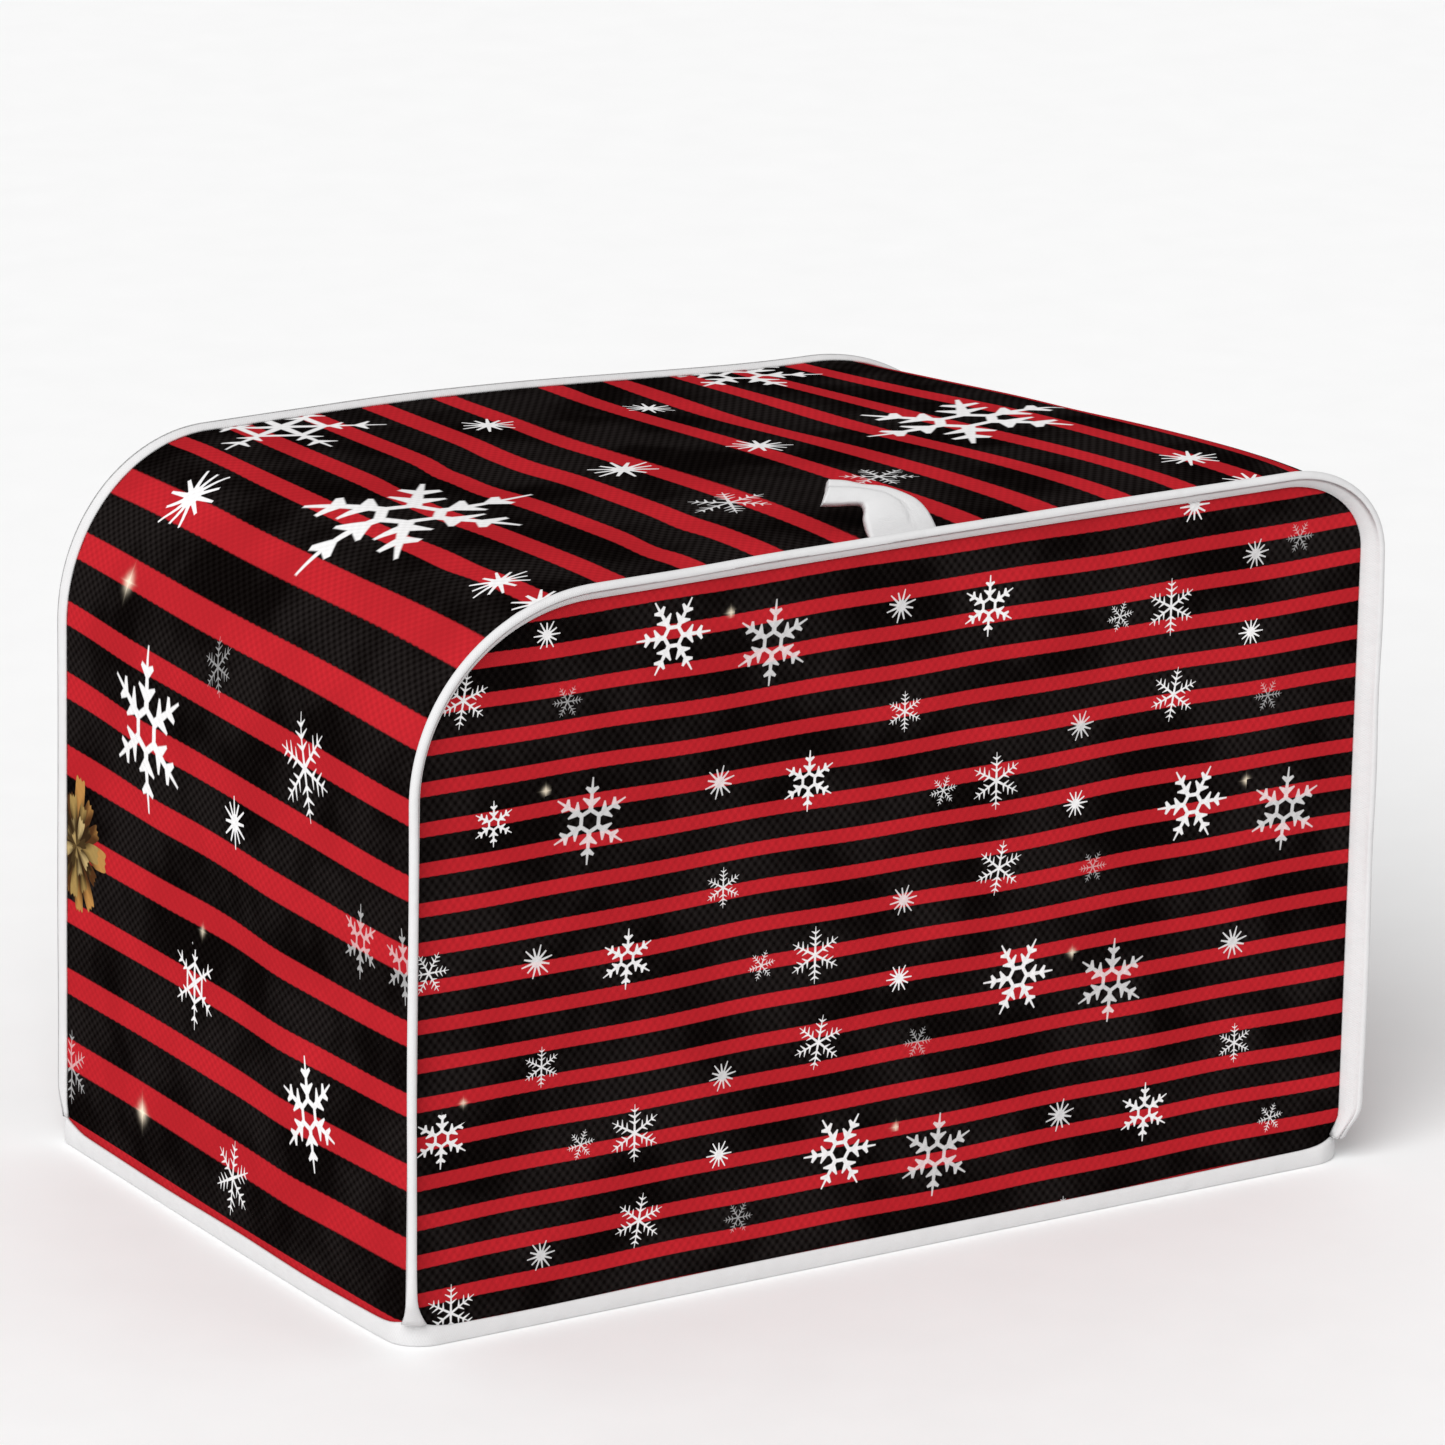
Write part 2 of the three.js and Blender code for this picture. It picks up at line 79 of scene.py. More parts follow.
# The strip swells between its seams, fullest nearer the front; given at the ends of the five stretches.
STRIP_SWELL = (2, 1.4, 1.8, 3.4, 6.2, 2)
STRIP_SWELL_SKEW = 0.5

# Soft folds: centre (along, up or across), turn in degrees, half length, half width, rise
Fold = namedtuple("Fold", "along up turn long wide rise")
STRIP_FOLDS = (
    Fold(62, -30, 12, 55, 17, 1.3),
    Fold(95, 18, 70, 60, 15, -1.2),
    Fold(128, 48, 25, 45, 16, 1.1),
    Fold(190, 55, 60, 50, 17, 1.2),
    Fold(196, 66, 78, 22, 5, -1.1),
    Fold(206, 50, 62, 16, 4.5, 0.5),
    Fold(214, -52, 118, 20, 6, -1),
    Fold(268, -66, 40, 26, 7, -0.9),
    Fold(258, 24, 25, 24, 6, -0.8),
    Fold(262, 8, 35, 48, 15, -1.5),
    Fold(318, -32, 70, 52, 18, 1),
    Fold(372, 36, 115, 55, 18, -1.2),
    Fold(432, -8, 75, 48, 17, 1.2),
    Fold(492, 30, 40, 42, 15, -1.1),
    Fold(560, -20, 20, 55, 17, 1.3),
    Fold(605, 38, 110, 50, 16, -1),
)
FRONT_FOLDS = (
    Fold(-96, 118, 62, 62, 17, 1.1),
    Fold(-38, 62, 100, 58, 18, -0.9),
    Fold(34, 132, 75, 60, 19, 0.9),
    Fold(92, 74, 118, 60, 17, -1),
)
BACK_FOLDS = (
    Fold(-88, 84, 110, 62, 18, 1.2),
    Fold(-22, 128, 78, 58, 19, -1),
    Fold(44, 70, 64, 60, 18, 1.1),
    Fold(104, 116, 98, 56, 17, -0.9),
)
FOLD_FADE = 16 * MM
PUCKER = 0.22 * MM  # small ripples of the cloth where it is gathered by a seam
PUCKER_REACH = 5 * MM
PUCKER_PITCH = 11 * MM

# The upright corners are drawn in to round ones at the hem.
FRONT_FOOT_CORNER = 8 * MM
BACK_FOOT_CORNER = 2.5 * MM
FOOT_CORNER_FADE = 11 * MM

# Seam bindings: width from the corner to the tip and lean in degrees, at the ends of the five stretches
# tuck: share of the width lost at the hem. flare: how much thicker the tape gets there.
Binding = namedtuple("Binding", "thickness width lean tuck flare")
FRONT_BINDING = Binding(2.6 * MM, (5.8, 5.8, 5, 5, 6.3, 6.3), (62, 52, 42, 42, 46, 46), 0.25, 2.8 * MM)
BACK_BINDING = Binding(2.4 * MM, (3.4, 3.4, 3.1, 2.9, 3.2, 3.4), (88, 88, 74, 84, 80, 84), 0.5, 0.3 * MM)
BINDING_LAP = 0.9 * MM
BINDING_CLEAR = 0.08 * MM
BINDING_TUCK_REACH = 12 * MM
BINDING_FLARE_REACH = 4 * MM

# Hem binding, which climbs a little at the four corners
HEM_CORNER_RISE = 2.2 * MM
HEM_RISE_REACH = 7 * MM
HEM_WAVER = 0.22 * MM  # unevenness of the tape's upper edge
HEM_STEP = 3 * MM

# Stripes across the strip, in millimetres from its left hem: centre and width of each red one
STRIP_STRIPES = (
    (3.9, 2.6), (25.3, 9), (46.8, 7.6), (67.3, 6.5), (87.8, 7.3), (109, 8.3), (129.8, 7.4), (150.8, 7),
    (171.3, 8.3), (194.5, 10), (216, 6), (237, 8.6), (261, 7.8), (283.8, 9), (307.3, 7.6), (344.8, 8.3),
    (367.6, 8.8), (391.2, 7.6), (411.9, 6.8), (432.6, 6.8),
)
STRIPE_PITCH = 21.4  # of the stripes that follow on the right wall, as far as the strip's end
STRIP_PRINT_END = 680
PANEL_STRIPE_FOOT = 13.7  # centre of a panel's lowest red stripe, above the surface
PANEL_STRIPE_PITCH = 10.93
RED_SHARE = 0.183  # half of a red stripe's width, as a share of the pitch
STRIPE_EDGE = 0.014  # softness of a stripe's edges, as a share of the pitch

# Motifs of the print: kind, place on the cloth, radius, turn in degrees and strength, in millimetres
STELLAR, FERN, RING_FERN, BURST, SPARKLE, CONE = range(6)
Motif = namedtuple("Motif", "kind along up radius turn strength")
MOTIF_REACH = 1.15  # a motif's own coordinates go this many radii out, and one step of the mesh more
MOTIF_MARGIN = 2.2 * MM
NOWHERE = 9.0  # coordinate of the cloth between the motifs, in radii
STRIP_STRETCH = 1.22  # the print is drawn out along the strip
STRIP_MOTIFS = (
    Motif(FERN, 18.3, 92.8, 9.2, -8, 0.95),
    Motif(RING_FERN, 68, 115, 11.1, 0, 1),
    Motif(STELLAR, 50, 50, 13.3, 14, 1),
    Motif(STELLAR, 133.3, 141.7, 19.7, 0, 1),
    Motif(STELLAR, 229.2, 87.5, 30.4, -3, 1),
    Motif(RING_FERN, 248.5, 182.5, 25.5, 30, 1),
    Motif(STELLAR, 106, 25.3, 8.6, 0, 0.42),
    Motif(STELLAR, 105, 4, 8.6, 8, 0.42),
    Motif(FERN, 161, 104, 6.8, 20, 0.3),
    Motif(BURST, 120.3, 92.8, 6.2, 5, 1),
    Motif(FERN, 146, 55.3, 12.4, 17, 0.95),
    Motif(BURST, 200, 155, 10, 35, 1),
    Motif(BURST, 216.3, 22.5, 7.2, 10, 1),
    Motif(BURST, 216, 3, 7.2, 0, 1),
    Motif(BURST, 299.7, 155, 7.2, 3, 1),
    Motif(BURST, 355.3, 156, 6.6, 12, 1),
    Motif(BURST, 300.8, 93.7, 8.4, 20, 0.95),
    Motif(BURST, 348.3, 97.8, 8, 40, 0.95),
    Motif(FERN, 302.5, 48, 9.9, 10, 0.75),
    Motif(FERN, 353, 52.5, 9, 25, 0.75),
    Motif(STELLAR, 416.5, 96.7, 27, 0, 1),
    Motif(STELLAR, 410, 184, 20, 30, 1),
    Motif(BURST, 433.3, 27.5, 7.4, 0, 1),
    Motif(BURST, 433, 3, 6.4, 15, 1),
    Motif(SPARKLE, 21.3, 145, 8, 0, 1),
    Motif(SPARKLE, 170.8, 159, 8, 0, 0.9),
    Motif(SPARKLE, 83.8, 111.7, 4, 0, 0.6),
    Motif(FERN, 21.7, 187, 9, 0, 0.4),
    Motif(CONE, 88, 184, 17.5, 0, 1),
)
MIRRORED_TO = 190  # the motifs up to here are repeated, turned about, on the right wall
PANEL_MOTIFS = (
    Motif(BURST, -112.8, 193, 4.1, 0, 1),
    Motif(FERN, -138.2, 178.7, 7.8, 20, 1),
    Motif(FERN, -106.2, 173.7, 4.7, 0, 0.35),
    Motif(STELLAR, -73.5, 187, 11.5, 0, 1),
    Motif(STELLAR, -128.5, 143.3, 6.4, 30, 1),
    Motif(SPARKLE, -112.5, 150, 4, 0, 0.8),
    Motif(STELLAR, -99, 139.7, 12, 25, 0.68),
    Motif(FERN, -148, 105, 6.2, 0, 0.95),
    Motif(BURST, -115, 103, 4.8, 15, 0.75),
    Motif(FERN, -113, 73, 5.8, 30, 0.9),
    Motif(STELLAR, -143.5, 58, 8.6, 28, 1),
    Motif(SPARKLE, -137, 67, 3.4, 0, 0.7),
    Motif(FERN, -100, 48.7, 4.4, 10, 0.8),
    Motif(BURST, -112, 19.3, 4.4, 8, 0.7),
    Motif(FERN, -140, 8, 8.2, 30, 0.95),
    Motif(BURST, 94.8, 200, 5, 0, 1),
    Motif(FERN, 130.8, 186, 4.7, 0, 0.35),
)
PANEL_REPEAT = (57, 41)  # the panel's motifs come back this far to the right and up, four times
PANEL_REPEATED = PANEL_MOTIFS[:-2]  # all but the two at the right edge
PANEL_PRINT_RIGHT = 150
PANEL_PRINT_TOP = 196

# The cone's layers: number of scales, start, reach, and the colours of a scale's sides and middle
CONE_LAYERS = (
    (13, 0.3, 1, (0.07, 0.028, 0.01), (0.42, 0.21, 0.06)),
    (11, 0.7, 0.74, (0.03, 0.016, 0.007), (0.32, 0.21, 0.07)),
    (8, 0.1, 0.46, (0.05, 0.03, 0.012), (0.45, 0.33, 0.15)),
    (5, 0.5, 0.2, (0.09, 0.055, 0.02), (0.36, 0.25, 0.1)),
)
CONE_GROUND = (0.03, 0.016, 0.008)
SPARKLE_COLOUR = (0.9, 0.78, 0.6)
SIN_60 = 0.866  # for the six-armed motifs
COS_60 = 0.5

# Weave of the tape, fineness of the noise in the cloths (per metre) and depth of their relief
TAPE_ROW = 0.7 * MM
TAPE_RIB = 1.1 * MM
CLOUDS = 30
KNIT_FIBRES = 3400
BACK_FIBRES = 3000
TAPE_FIBRES = 2600
TAPE_CRUMPLES = 190
KNIT_RELIEF = 0.14 * MM
TAPE_RELIEF = 0.3 * MM

# Pull loop: its sections, in the plane that leans back from the seam, x to the right and up from the seam
LoopSection = namedtuple("LoopSection", "inner crease outer tilt")
LOOP_LEAN = math.radians(45)
LOOP_THICKNESS = 2.4 * MM
LOOP_FOOT = (-3 * MM, -DEPTH / 2 + 3.2 * MM, HEIGHT + 2.4 * MM)
# Places across the loop's tape, from its inner edge to its outer one
LOOP_SHARES = (0, 0.06, 0.16, 0.28, 0.4, 0.5, 0.55, 0.585, 0.615, 0.65, 0.7, 0.8, 0.9, 0.96, 1)
LOOP_LAP = 0.75 * MM  # how much higher the inner leg lies
LOOP_ROUNDING = 0.5 * MM
LOOP_LENGTH = 34 * MM
LOOP_GIRTH = 44 * MM
LOOP_SECTIONS = (
    LoopSection((-6.6, 0), (5.2, 0), (14.5, 0), 0),
    LoopSection((-6.6, 3), (5.3, 3), (14.2, 3), 30),
    LoopSection((-6.2, 5.7), (5.4, 6.1), (13.2, 6.5), 45),
    LoopSection((-5, 8.1), (4.8, 8.9), (10.8, 9.9), 45),
    LoopSection((-5.2, 9.9), (1.4, 11.9), (4.6, 13.8), 45),
    LoopSection((-8.4, 10.6), (-4, 13.9), (-2.4, 15.8), 45),
    LoopSection((-12.4, 11), (-8.8, 14.9), (-7, 17.6), 45),
    LoopSection((-17.2, 11.7), (-13.8, 15.7), (-12, 18.7), 45),
)

# Camera, fitted to the seam lines of the photograph
IMAGE_PIXELS = 1445
CAMERA_AZIMUTH = math.radians(32.7)
CAMERA_ELEVATION = math.radians(17.65)
CAMERA_ROLL = math.radians(1.1)
CAMERA_DISTANCE = 2.73
CAMERA_FOCAL_PIXELS = 3.58 * 2730  # 3.58 pixels per millimetre at the cover
CAMERA_AIM_HEIGHT = 0.1015
OBJECT_PIXEL = (709.7, 807.5)  # of the point at that height in the middle of the cover
SENSOR_WIDTH = 36

# Studio
FLOOR_SIZE = 12
FLOOR_COLOURS = ((0.92, 0.92, 0.92), (0.95, 0.95, 0.95))
KEY_LIGHT_FROM = (-0.52, -0.38, 0.52)
KEY_LIGHT_SPREAD = 50
KEY_LIGHT_STRENGTH = 2.55
SKY_STRENGTH = 0.54


def length_setting(name, description, default):
    return bpy.props.FloatProperty(name=name, description=description, default=default, unit="LENGTH")


def colour_setting(name, description, default):
    return bpy.props.FloatVectorProperty(name=name, description=description, default=default, subtype="COLOR")


class CoverSizes(bpy.types.PropertyGroup):
    cloth: length_setting("Cloth", "Thickness of the padded knit", 2.4 * MM)
    tape: length_setting("Tape", "Thickness of the binding tape", 1 * MM)
    hem_height: length_setting("Hem height", "How far the hem tape comes up", 5 * MM)
    cloth_step: length_setting("Cloth step", "Spacing of the cloth's mesh", 2.1 * MM)
    knit_pitch: length_setting("Knit pitch", "Spacing of the dots in the mesh knit", 2.7 * MM)


class CoverColours(bpy.types.PropertyGroup):
    black: colour_setting("Black", "Ground of the print", (0.0012, 0.0006, 0.0005))
    charcoal: colour_setting("Charcoal", "Ground where the knit catches light", (0.0165, 0.0135, 0.013))
    crimson: colour_setting("Crimson", "Stripes of the print", (0.45, 0.0168, 0.0236))
    snow: colour_setting("Snow", "Snowflakes of the print", (0.85, 0.84, 0.84))
    tape: colour_setting("Tape", "Binding tape and pull loop", (0.7, 0.695, 0.698))


def ease(v):
    v = np.clip(v, 0, 1)
    return v * v * (3 - 2 * v)


def seam_line(seam, u):
    """Points (x, z) of a seam line. u counts its five stretches, from the left hem to the right one."""
    stretch = np.clip(np.floor(u), 0, 4).astype(int)
    v = u - stretch
    turn = v * np.pi / 2
    half = LENGTH / 2
    right_top = HEIGHT - seam.fall
    left_wall = CLOTH_FOOT + v * (HEIGHT - seam.left_drop - CLOTH_FOOT)
    right_wall = CLOTH_FOOT + (1 - v) * (right_top - seam.right_drop - CLOTH_FOOT)
    top = HEIGHT + 16 * seam.crown * (v * (1 - v)) ** 2 - seam.fall * ease(v)
    x = np.choose(stretch, [
        np.full_like(v, -half),
        -half + seam.left_run * (1 - np.cos(turn)),
        -half + seam.left_run + v * (LENGTH - seam.left_run - seam.right_run),
        half - seam.right_run * (1 - np.sin(turn)),
        np.full_like(v, half),
    ])
    z = np.choose(stretch, [
        left_wall,
        HEIGHT - seam.left_drop * (1 - np.sin(turn)),
        top,
        right_top - seam.right_drop * (1 - np.cos(turn)),
        right_wall,
    ])
    return np.stack([x, z], -1)


def middle_line(u):
    return (seam_line(FRONT_SEAM, u) + seam_line(BACK_SEAM, u)) / 2


def outward(line, u):
    """Unit vectors (x, z) square to a line, out of the cover."""
    nudge = 1e-3
    along = line(np.minimum(u + nudge, 5)) - line(np.maximum(u - nudge, 0))
    along /= np.linalg.norm(along, axis=-1, keepdims=True)
    return np.stack([-along[..., 1], along[..., 0]], -1)


def even_stations(line, step, first=0.0, last=5.0):
    """Values of u evenly spaced along a line, and their lengths from its start."""
    u = np.linspace(first, last, 4001)
    points = line(u)
    lengths = np.concatenate([[0], np.cumsum(np.linalg.norm(np.diff(points, axis=0), axis=1))])
    count = int(math.ceil(lengths[-1] / step)) + 1
    places = np.linspace(0, lengths[-1], count)
    return np.interp(places, lengths, u), places


def along_stretches(values, u):
    return np.interp(u, range(6), values) * MM


def strip_swell(u, share):
    return along_stretches(STRIP_SWELL, u) * np.sin(np.pi * np.clip(share, 0, 1) ** STRIP_SWELL_SKEW)


def fold_rise(folds, along, up):
    rise = np.zeros(np.broadcast(along, up).shape)
    for fold in folds:
        turn = math.radians(fold.turn)
        away = along - fold.along * MM
        above = up - fold.up * MM
        lengthwise = away * math.cos(turn) + above * math.sin(turn)
        crosswise = above * math.cos(turn) - away * math.sin(turn)
        spread = (lengthwise / (fold.long * MM)) ** 2 + (crosswise / (fold.wide * MM)) ** 2
        rise += fold.rise * MM * np.exp(-spread)
    return rise


def fade(distance):
    return ease(distance / FOLD_FADE)


def pucker(distance, along):
    """Ripples square to a seam, unevenly spaced, that die out away from it."""
    uneven = along / PUCKER_PITCH * 2 * np.pi + 2.1 * np.sin(along / (2.7 * PUCKER_PITCH))
    return PUCKER * np.sin(uneven) * np.exp(-distance / PUCKER_REACH) * ease(distance / (1.5 * BINDING_LAP))


def foot_corner(side):
    """Radius of a corner at the hem; side is below 0 at the front."""
    return np.where(np.asarray(side) < 0, FRONT_FOOT_CORNER, BACK_FOOT_CORNER)


def drawn_in(distance, z, side, hem_height, depth=0.0):
    """How a wall is drawn in at the hem's round corners: square to the wall, and along it."""
    above = ease((z - hem_height) / FOOT_CORNER_FADE)
    radius = np.maximum(foot_corner(side) * (1 - above) - depth, 1e-6)
    turn = np.clip(1 - distance / radius, 0, 1) * np.pi / 4
    aside = np.where(distance < radius, radius * (1 - np.sin(turn)) - distance, 0)
    return radius * (1 - np.cos(turn)), aside


def to_frame(x, y, z):
    return np.stack([x + CENTRE[0], y + CENTRE[1], z], -1)


def new_mesh(name, points, faces):
    """A smooth mesh object, placed by its mesh, with its faces turned outwards if it is closed."""
    points = np.asarray(points, float).reshape(-1, 3)
    corners = points[np.asarray([face[:3] for face in faces])]
    if np.einsum("ij,ij->i", corners[:, 0], np.cross(corners[:, 1], corners[:, 2])).sum() < 0:
        faces = [face[::-1] for face in faces]
    mesh = bpy.data.meshes.new(name)
    mesh.from_pydata(points.tolist(), [], faces)
    mesh.shade_smooth()
    piece = bpy.data.objects.new(name, mesh)
    bpy.context.collection.objects.link(piece)
    return piece


def grid_faces(rows, columns, start=0):
    at = np.arange(rows * columns).reshape(rows, columns) + start
    quads = np.stack([at[:-1, :-1], at[:-1, 1:], at[1:, 1:], at[1:, :-1]], -1)
    return quads.reshape(-1, 4).tolist()


def closed_sheet(name, outer, inner):
    """A closed sheet between two grids of points. Its outer faces come first."""
    rows, columns = outer.shape[:2]
    count = rows * columns
    shown = grid_faces(rows, columns)
    hidden = [face[::-1] for face in grid_faces(rows, columns, count)]
    at = np.arange(count).reshape(rows, columns)
    rim = np.concatenate([at[0, :-1], at[:-1, -1], at[-1, :0:-1], at[:0:-1, 0]])
    ahead = np.roll(rim, -1)
    edge = np.stack([ahead, rim, rim + count, ahead + count], -1).tolist()
    return new_mesh(name, np.concatenate([outer.reshape(-1, 3), inner.reshape(-1, 3)]), shown + hidden + edge)


def looped_bar(name, rings, closed):
    """A bar through rings of points; open bars are capped with a fan at either end."""
    count, sides = rings.shape[:2]
    faces = []
    for ring in range(count if closed else count - 1):
        a, b = ring * sides, (ring + 1) % count * sides
        faces += [[a + i, a + (i + 1) % sides, b + (i + 1) % sides, b + i] for i in range(sides)]
    points = rings.reshape(-1, 3)
    if not closed:
        for ring in (0, count - 1):
            middle = len(points)
            points = np.vstack([points, rings[ring].mean(0)])
            fan = [[middle, ring * sides + (i + 1) % sides, ring * sides + i] for i in range(sides)]
            faces += fan if ring == 0 else [face[::-1] for face in fan]
    return new_mesh(name, points, faces)


def motif_table(motifs, strip_length):
    """The motifs of the strip, with those of the left wall repeated on the right one."""
    turned = [
        motif._replace(along=strip_length / MM - motif.along, turn=-motif.turn)
        for motif in motifs
        if motif.along < MIRRORED_TO
    ]
    return [*motifs, *turned]


def panel_motifs():
    """The motifs of a panel, repeated across it where they find room."""
    placed = list(PANEL_MOTIFS)
    for repeat in range(1, 5):
        for motif in PANEL_REPEATED:
            along = motif.along + repeat * PANEL_REPEAT[0]
            up = (motif.up + repeat * PANEL_REPEAT[1]) % PANEL_PRINT_TOP
            clear = all(
                math.hypot(along - other.along, up - other.up) > motif.radius + other.radius
                for other in placed
            )
            if clear and along < PANEL_PRINT_RIGHT:
                placed.append(motif._replace(along=along, up=up))
    return placed


def print_on(piece, cloth, stripe, motifs, stretch):
    """Lays the print on a sheet: cloth coordinates, stripe phase, and each motif's own coordinates."""
    mesh = piece.data
    flat = np.tile(cloth.reshape(-1, 2), (2, 1))
    phase = np.tile(stripe.reshape(-1), 2)
    vertex = np.empty(len(mesh.loops), int)
    mesh.loops.foreach_get("vertex_index", vertex)
    mesh.uv_layers.new(name="cloth").data.foreach_set("uv", flat[vertex].ravel())
    mesh.attributes.new("stripe", "FLOAT", "POINT").data.foreach_set("value", phase)

    starts = np.empty(len(mesh.polygons), int)
    mesh.polygons.foreach_get("loop_start", starts)
    owner = np.repeat(np.arange(len(starts)), 4)
    centre = np.add.reduceat(flat[vertex], starts) / 4
    local = np.full((len(vertex), 2), NOWHERE)
    kind = np.full(len(starts), -1.0)
    strength = np.zeros(len(starts))
    for motif in motifs:
        place = np.array([motif.along, motif.up]) * MM
        radius = motif.radius * MM
        radii = radius * np.array([stretch, 1])
        turn = math.radians(motif.turn)
        near = np.linalg.norm((centre - place) / radii, axis=1) < MOTIF_REACH + MOTIF_MARGIN / radius
        corners = near[owner]
        apart = (flat[vertex][corners] - place) / radii
        spin = np.array([[math.cos(turn), -math.sin(turn)], [math.sin(turn), math.cos(turn)]])
        local[corners] = apart @ spin
        kind[near] = motif.kind
        strength[near] = motif.strength
    mesh.uv_layers.new(name="motif").data.foreach_set("uv", local.ravel())
    mesh.attributes.new("kind", "FLOAT", "FACE").data.foreach_set("value", kind)
    mesh.attributes.new("strength", "FLOAT", "FACE").data.foreach_set("value", strength)

    inside = np.zeros(len(starts), int)
    inside[(cloth.shape[0] - 1) * (cloth.shape[1] - 1):] = 1
    mesh.polygons.foreach_set("material_index", inside)
    mesh.materials.append(printed_knit())
    mesh.materials.append(knit_back())
    mesh.uv_layers.active = mesh.uv_layers["cloth"]


def finish_piece(piece, node):
    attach(piece, BODY)
    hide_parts(node)


def strip_stripe_phase(along, share):
    """Whole numbers of the phase are the middles of the red stripes, which lean and bow a little."""
    s = along / MM
    at_shoulder = np.exp(-(((s - 140) / 52) ** 2))
    at_hem = np.exp(-s / 15)
    on_top = ease((s - 190) / 50)
    lean = 6.4 * at_shoulder * (share - 0.42) + 1.6 * at_hem * (share - 0.4)
    bow = on_top * (11 * (share - 0.52) ** 2 - 0.8)
    wave = 0.25 * np.sin(share * 9 + s / 31)
    edges, phases = [], []
    stripes = list(STRIP_STRIPES)
    while stripes[-1][0] < STRIP_PRINT_END:
        stripes.append((stripes[-1][0] + STRIPE_PITCH, 7 + 1.2 * math.sin(len(stripes) * 2.3)))
    for number, (middle, width) in enumerate(stripes):
        edges += [middle - width / 2, middle + width / 2]
        phases += [number - RED_SHARE, number + RED_SHARE]
    return np.interp(s - lean - bow - wave, edges, phases)


def build_strip(sizes):
    u, lengths = even_stations(middle_line, sizes.cloth_step)
    columns = int(DEPTH / sizes.cloth_step) + 18
    even = np.linspace(0, 1, columns)
    # The steps are shorter near the seams.
    steps = even - 0.1 * np.sin(2 * np.pi * even)
    u2, step = np.meshgrid(u, steps, indexing="ij")
    along = np.broadcast_to(lengths[:, None], u2.shape)
    normal = outward(middle_line, u2)

    def layer(depth):
        edge = MITRE + depth
        y = -DEPTH / 2 + edge + step * (DEPTH - 2 * edge)
        to_seam = DEPTH / 2 - np.abs(y)
        share = (y + DEPTH / 2) / DEPTH
        to_back = share[..., None]
        line = seam_line(FRONT_SEAM, u2) * (1 - to_back) + seam_line(BACK_SEAM, u2) * to_back
        flat = fade(to_seam) * fade(line[..., 1] - sizes.hem_height)
        inward, aside = drawn_in(to_seam - depth, line[..., 1], y, sizes.hem_height, depth)
        rise = strip_swell(u2, share) + flat * fold_rise(STRIP_FOLDS, along, y)
        rise += pucker(to_seam, along + 40 * MM * np.sign(y)) - inward - depth
        return to_frame(
            line[..., 0] + normal[..., 0] * rise, y - np.sign(y) * aside, line[..., 1] + normal[..., 1] * rise
        )

    piece = closed_sheet("strip_cloth", layer(0), layer(sizes.cloth))
    cloth = np.stack([along, step * DEPTH], -1)
    motifs = motif_table(STRIP_MOTIFS, lengths[-1])
    print_on(piece, cloth, strip_stripe_phase(along, step), motifs, STRIP_STRETCH)
    finish_piece(piece, "gusset")


def build_panel(name, node, seam, folds, sizes):
    line = partial(seam_line, seam)
    u, _ = even_stations(line, sizes.cloth_step, 1.0, 4.0)
    rows = int(HEIGHT / sizes.cloth_step) + 1
    share = np.linspace(0, 1, rows)
    u2, up = np.meshgrid(u, share, indexing="ij")

    def layer(depth):
        top = line(u2) - outward(line, u2) * (MITRE + depth)
        x, high = top[..., 0], top[..., 1]
        z = CLOTH_FOOT + up * (high - CLOTH_FOOT)
        to_wall = LENGTH / 2 - np.abs(x)
        flat = fade(np.minimum(np.minimum(to_wall, high - z), z - sizes.hem_height))
        inward, aside = drawn_in(to_wall - depth, z, seam.side, sizes.hem_height, depth)
        out = flat * fold_rise(folds, x, z) - inward - depth
        out += pucker(to_wall, z) + pucker(high - z, x)
        return x, z, to_frame(x - np.sign(x) * aside, seam.side * (DEPTH / 2 + out), z)

    x, z, outer = layer(0)
    piece = closed_sheet(name, outer, layer(sizes.cloth)[2])
    wave = 0.28 * np.sin(x / 0.026 + z / 0.017) + 0.16 * np.sin(x / 0.0095 - z / 0.034)
    phase = (z / MM + wave - PANEL_STRIPE_FOOT) / PANEL_STRIPE_PITCH
    cloth = np.stack([-seam.side * x, z], -1)
    print_on(piece, cloth, phase, panel_motifs(), 1)
    finish_piece(piece, node)


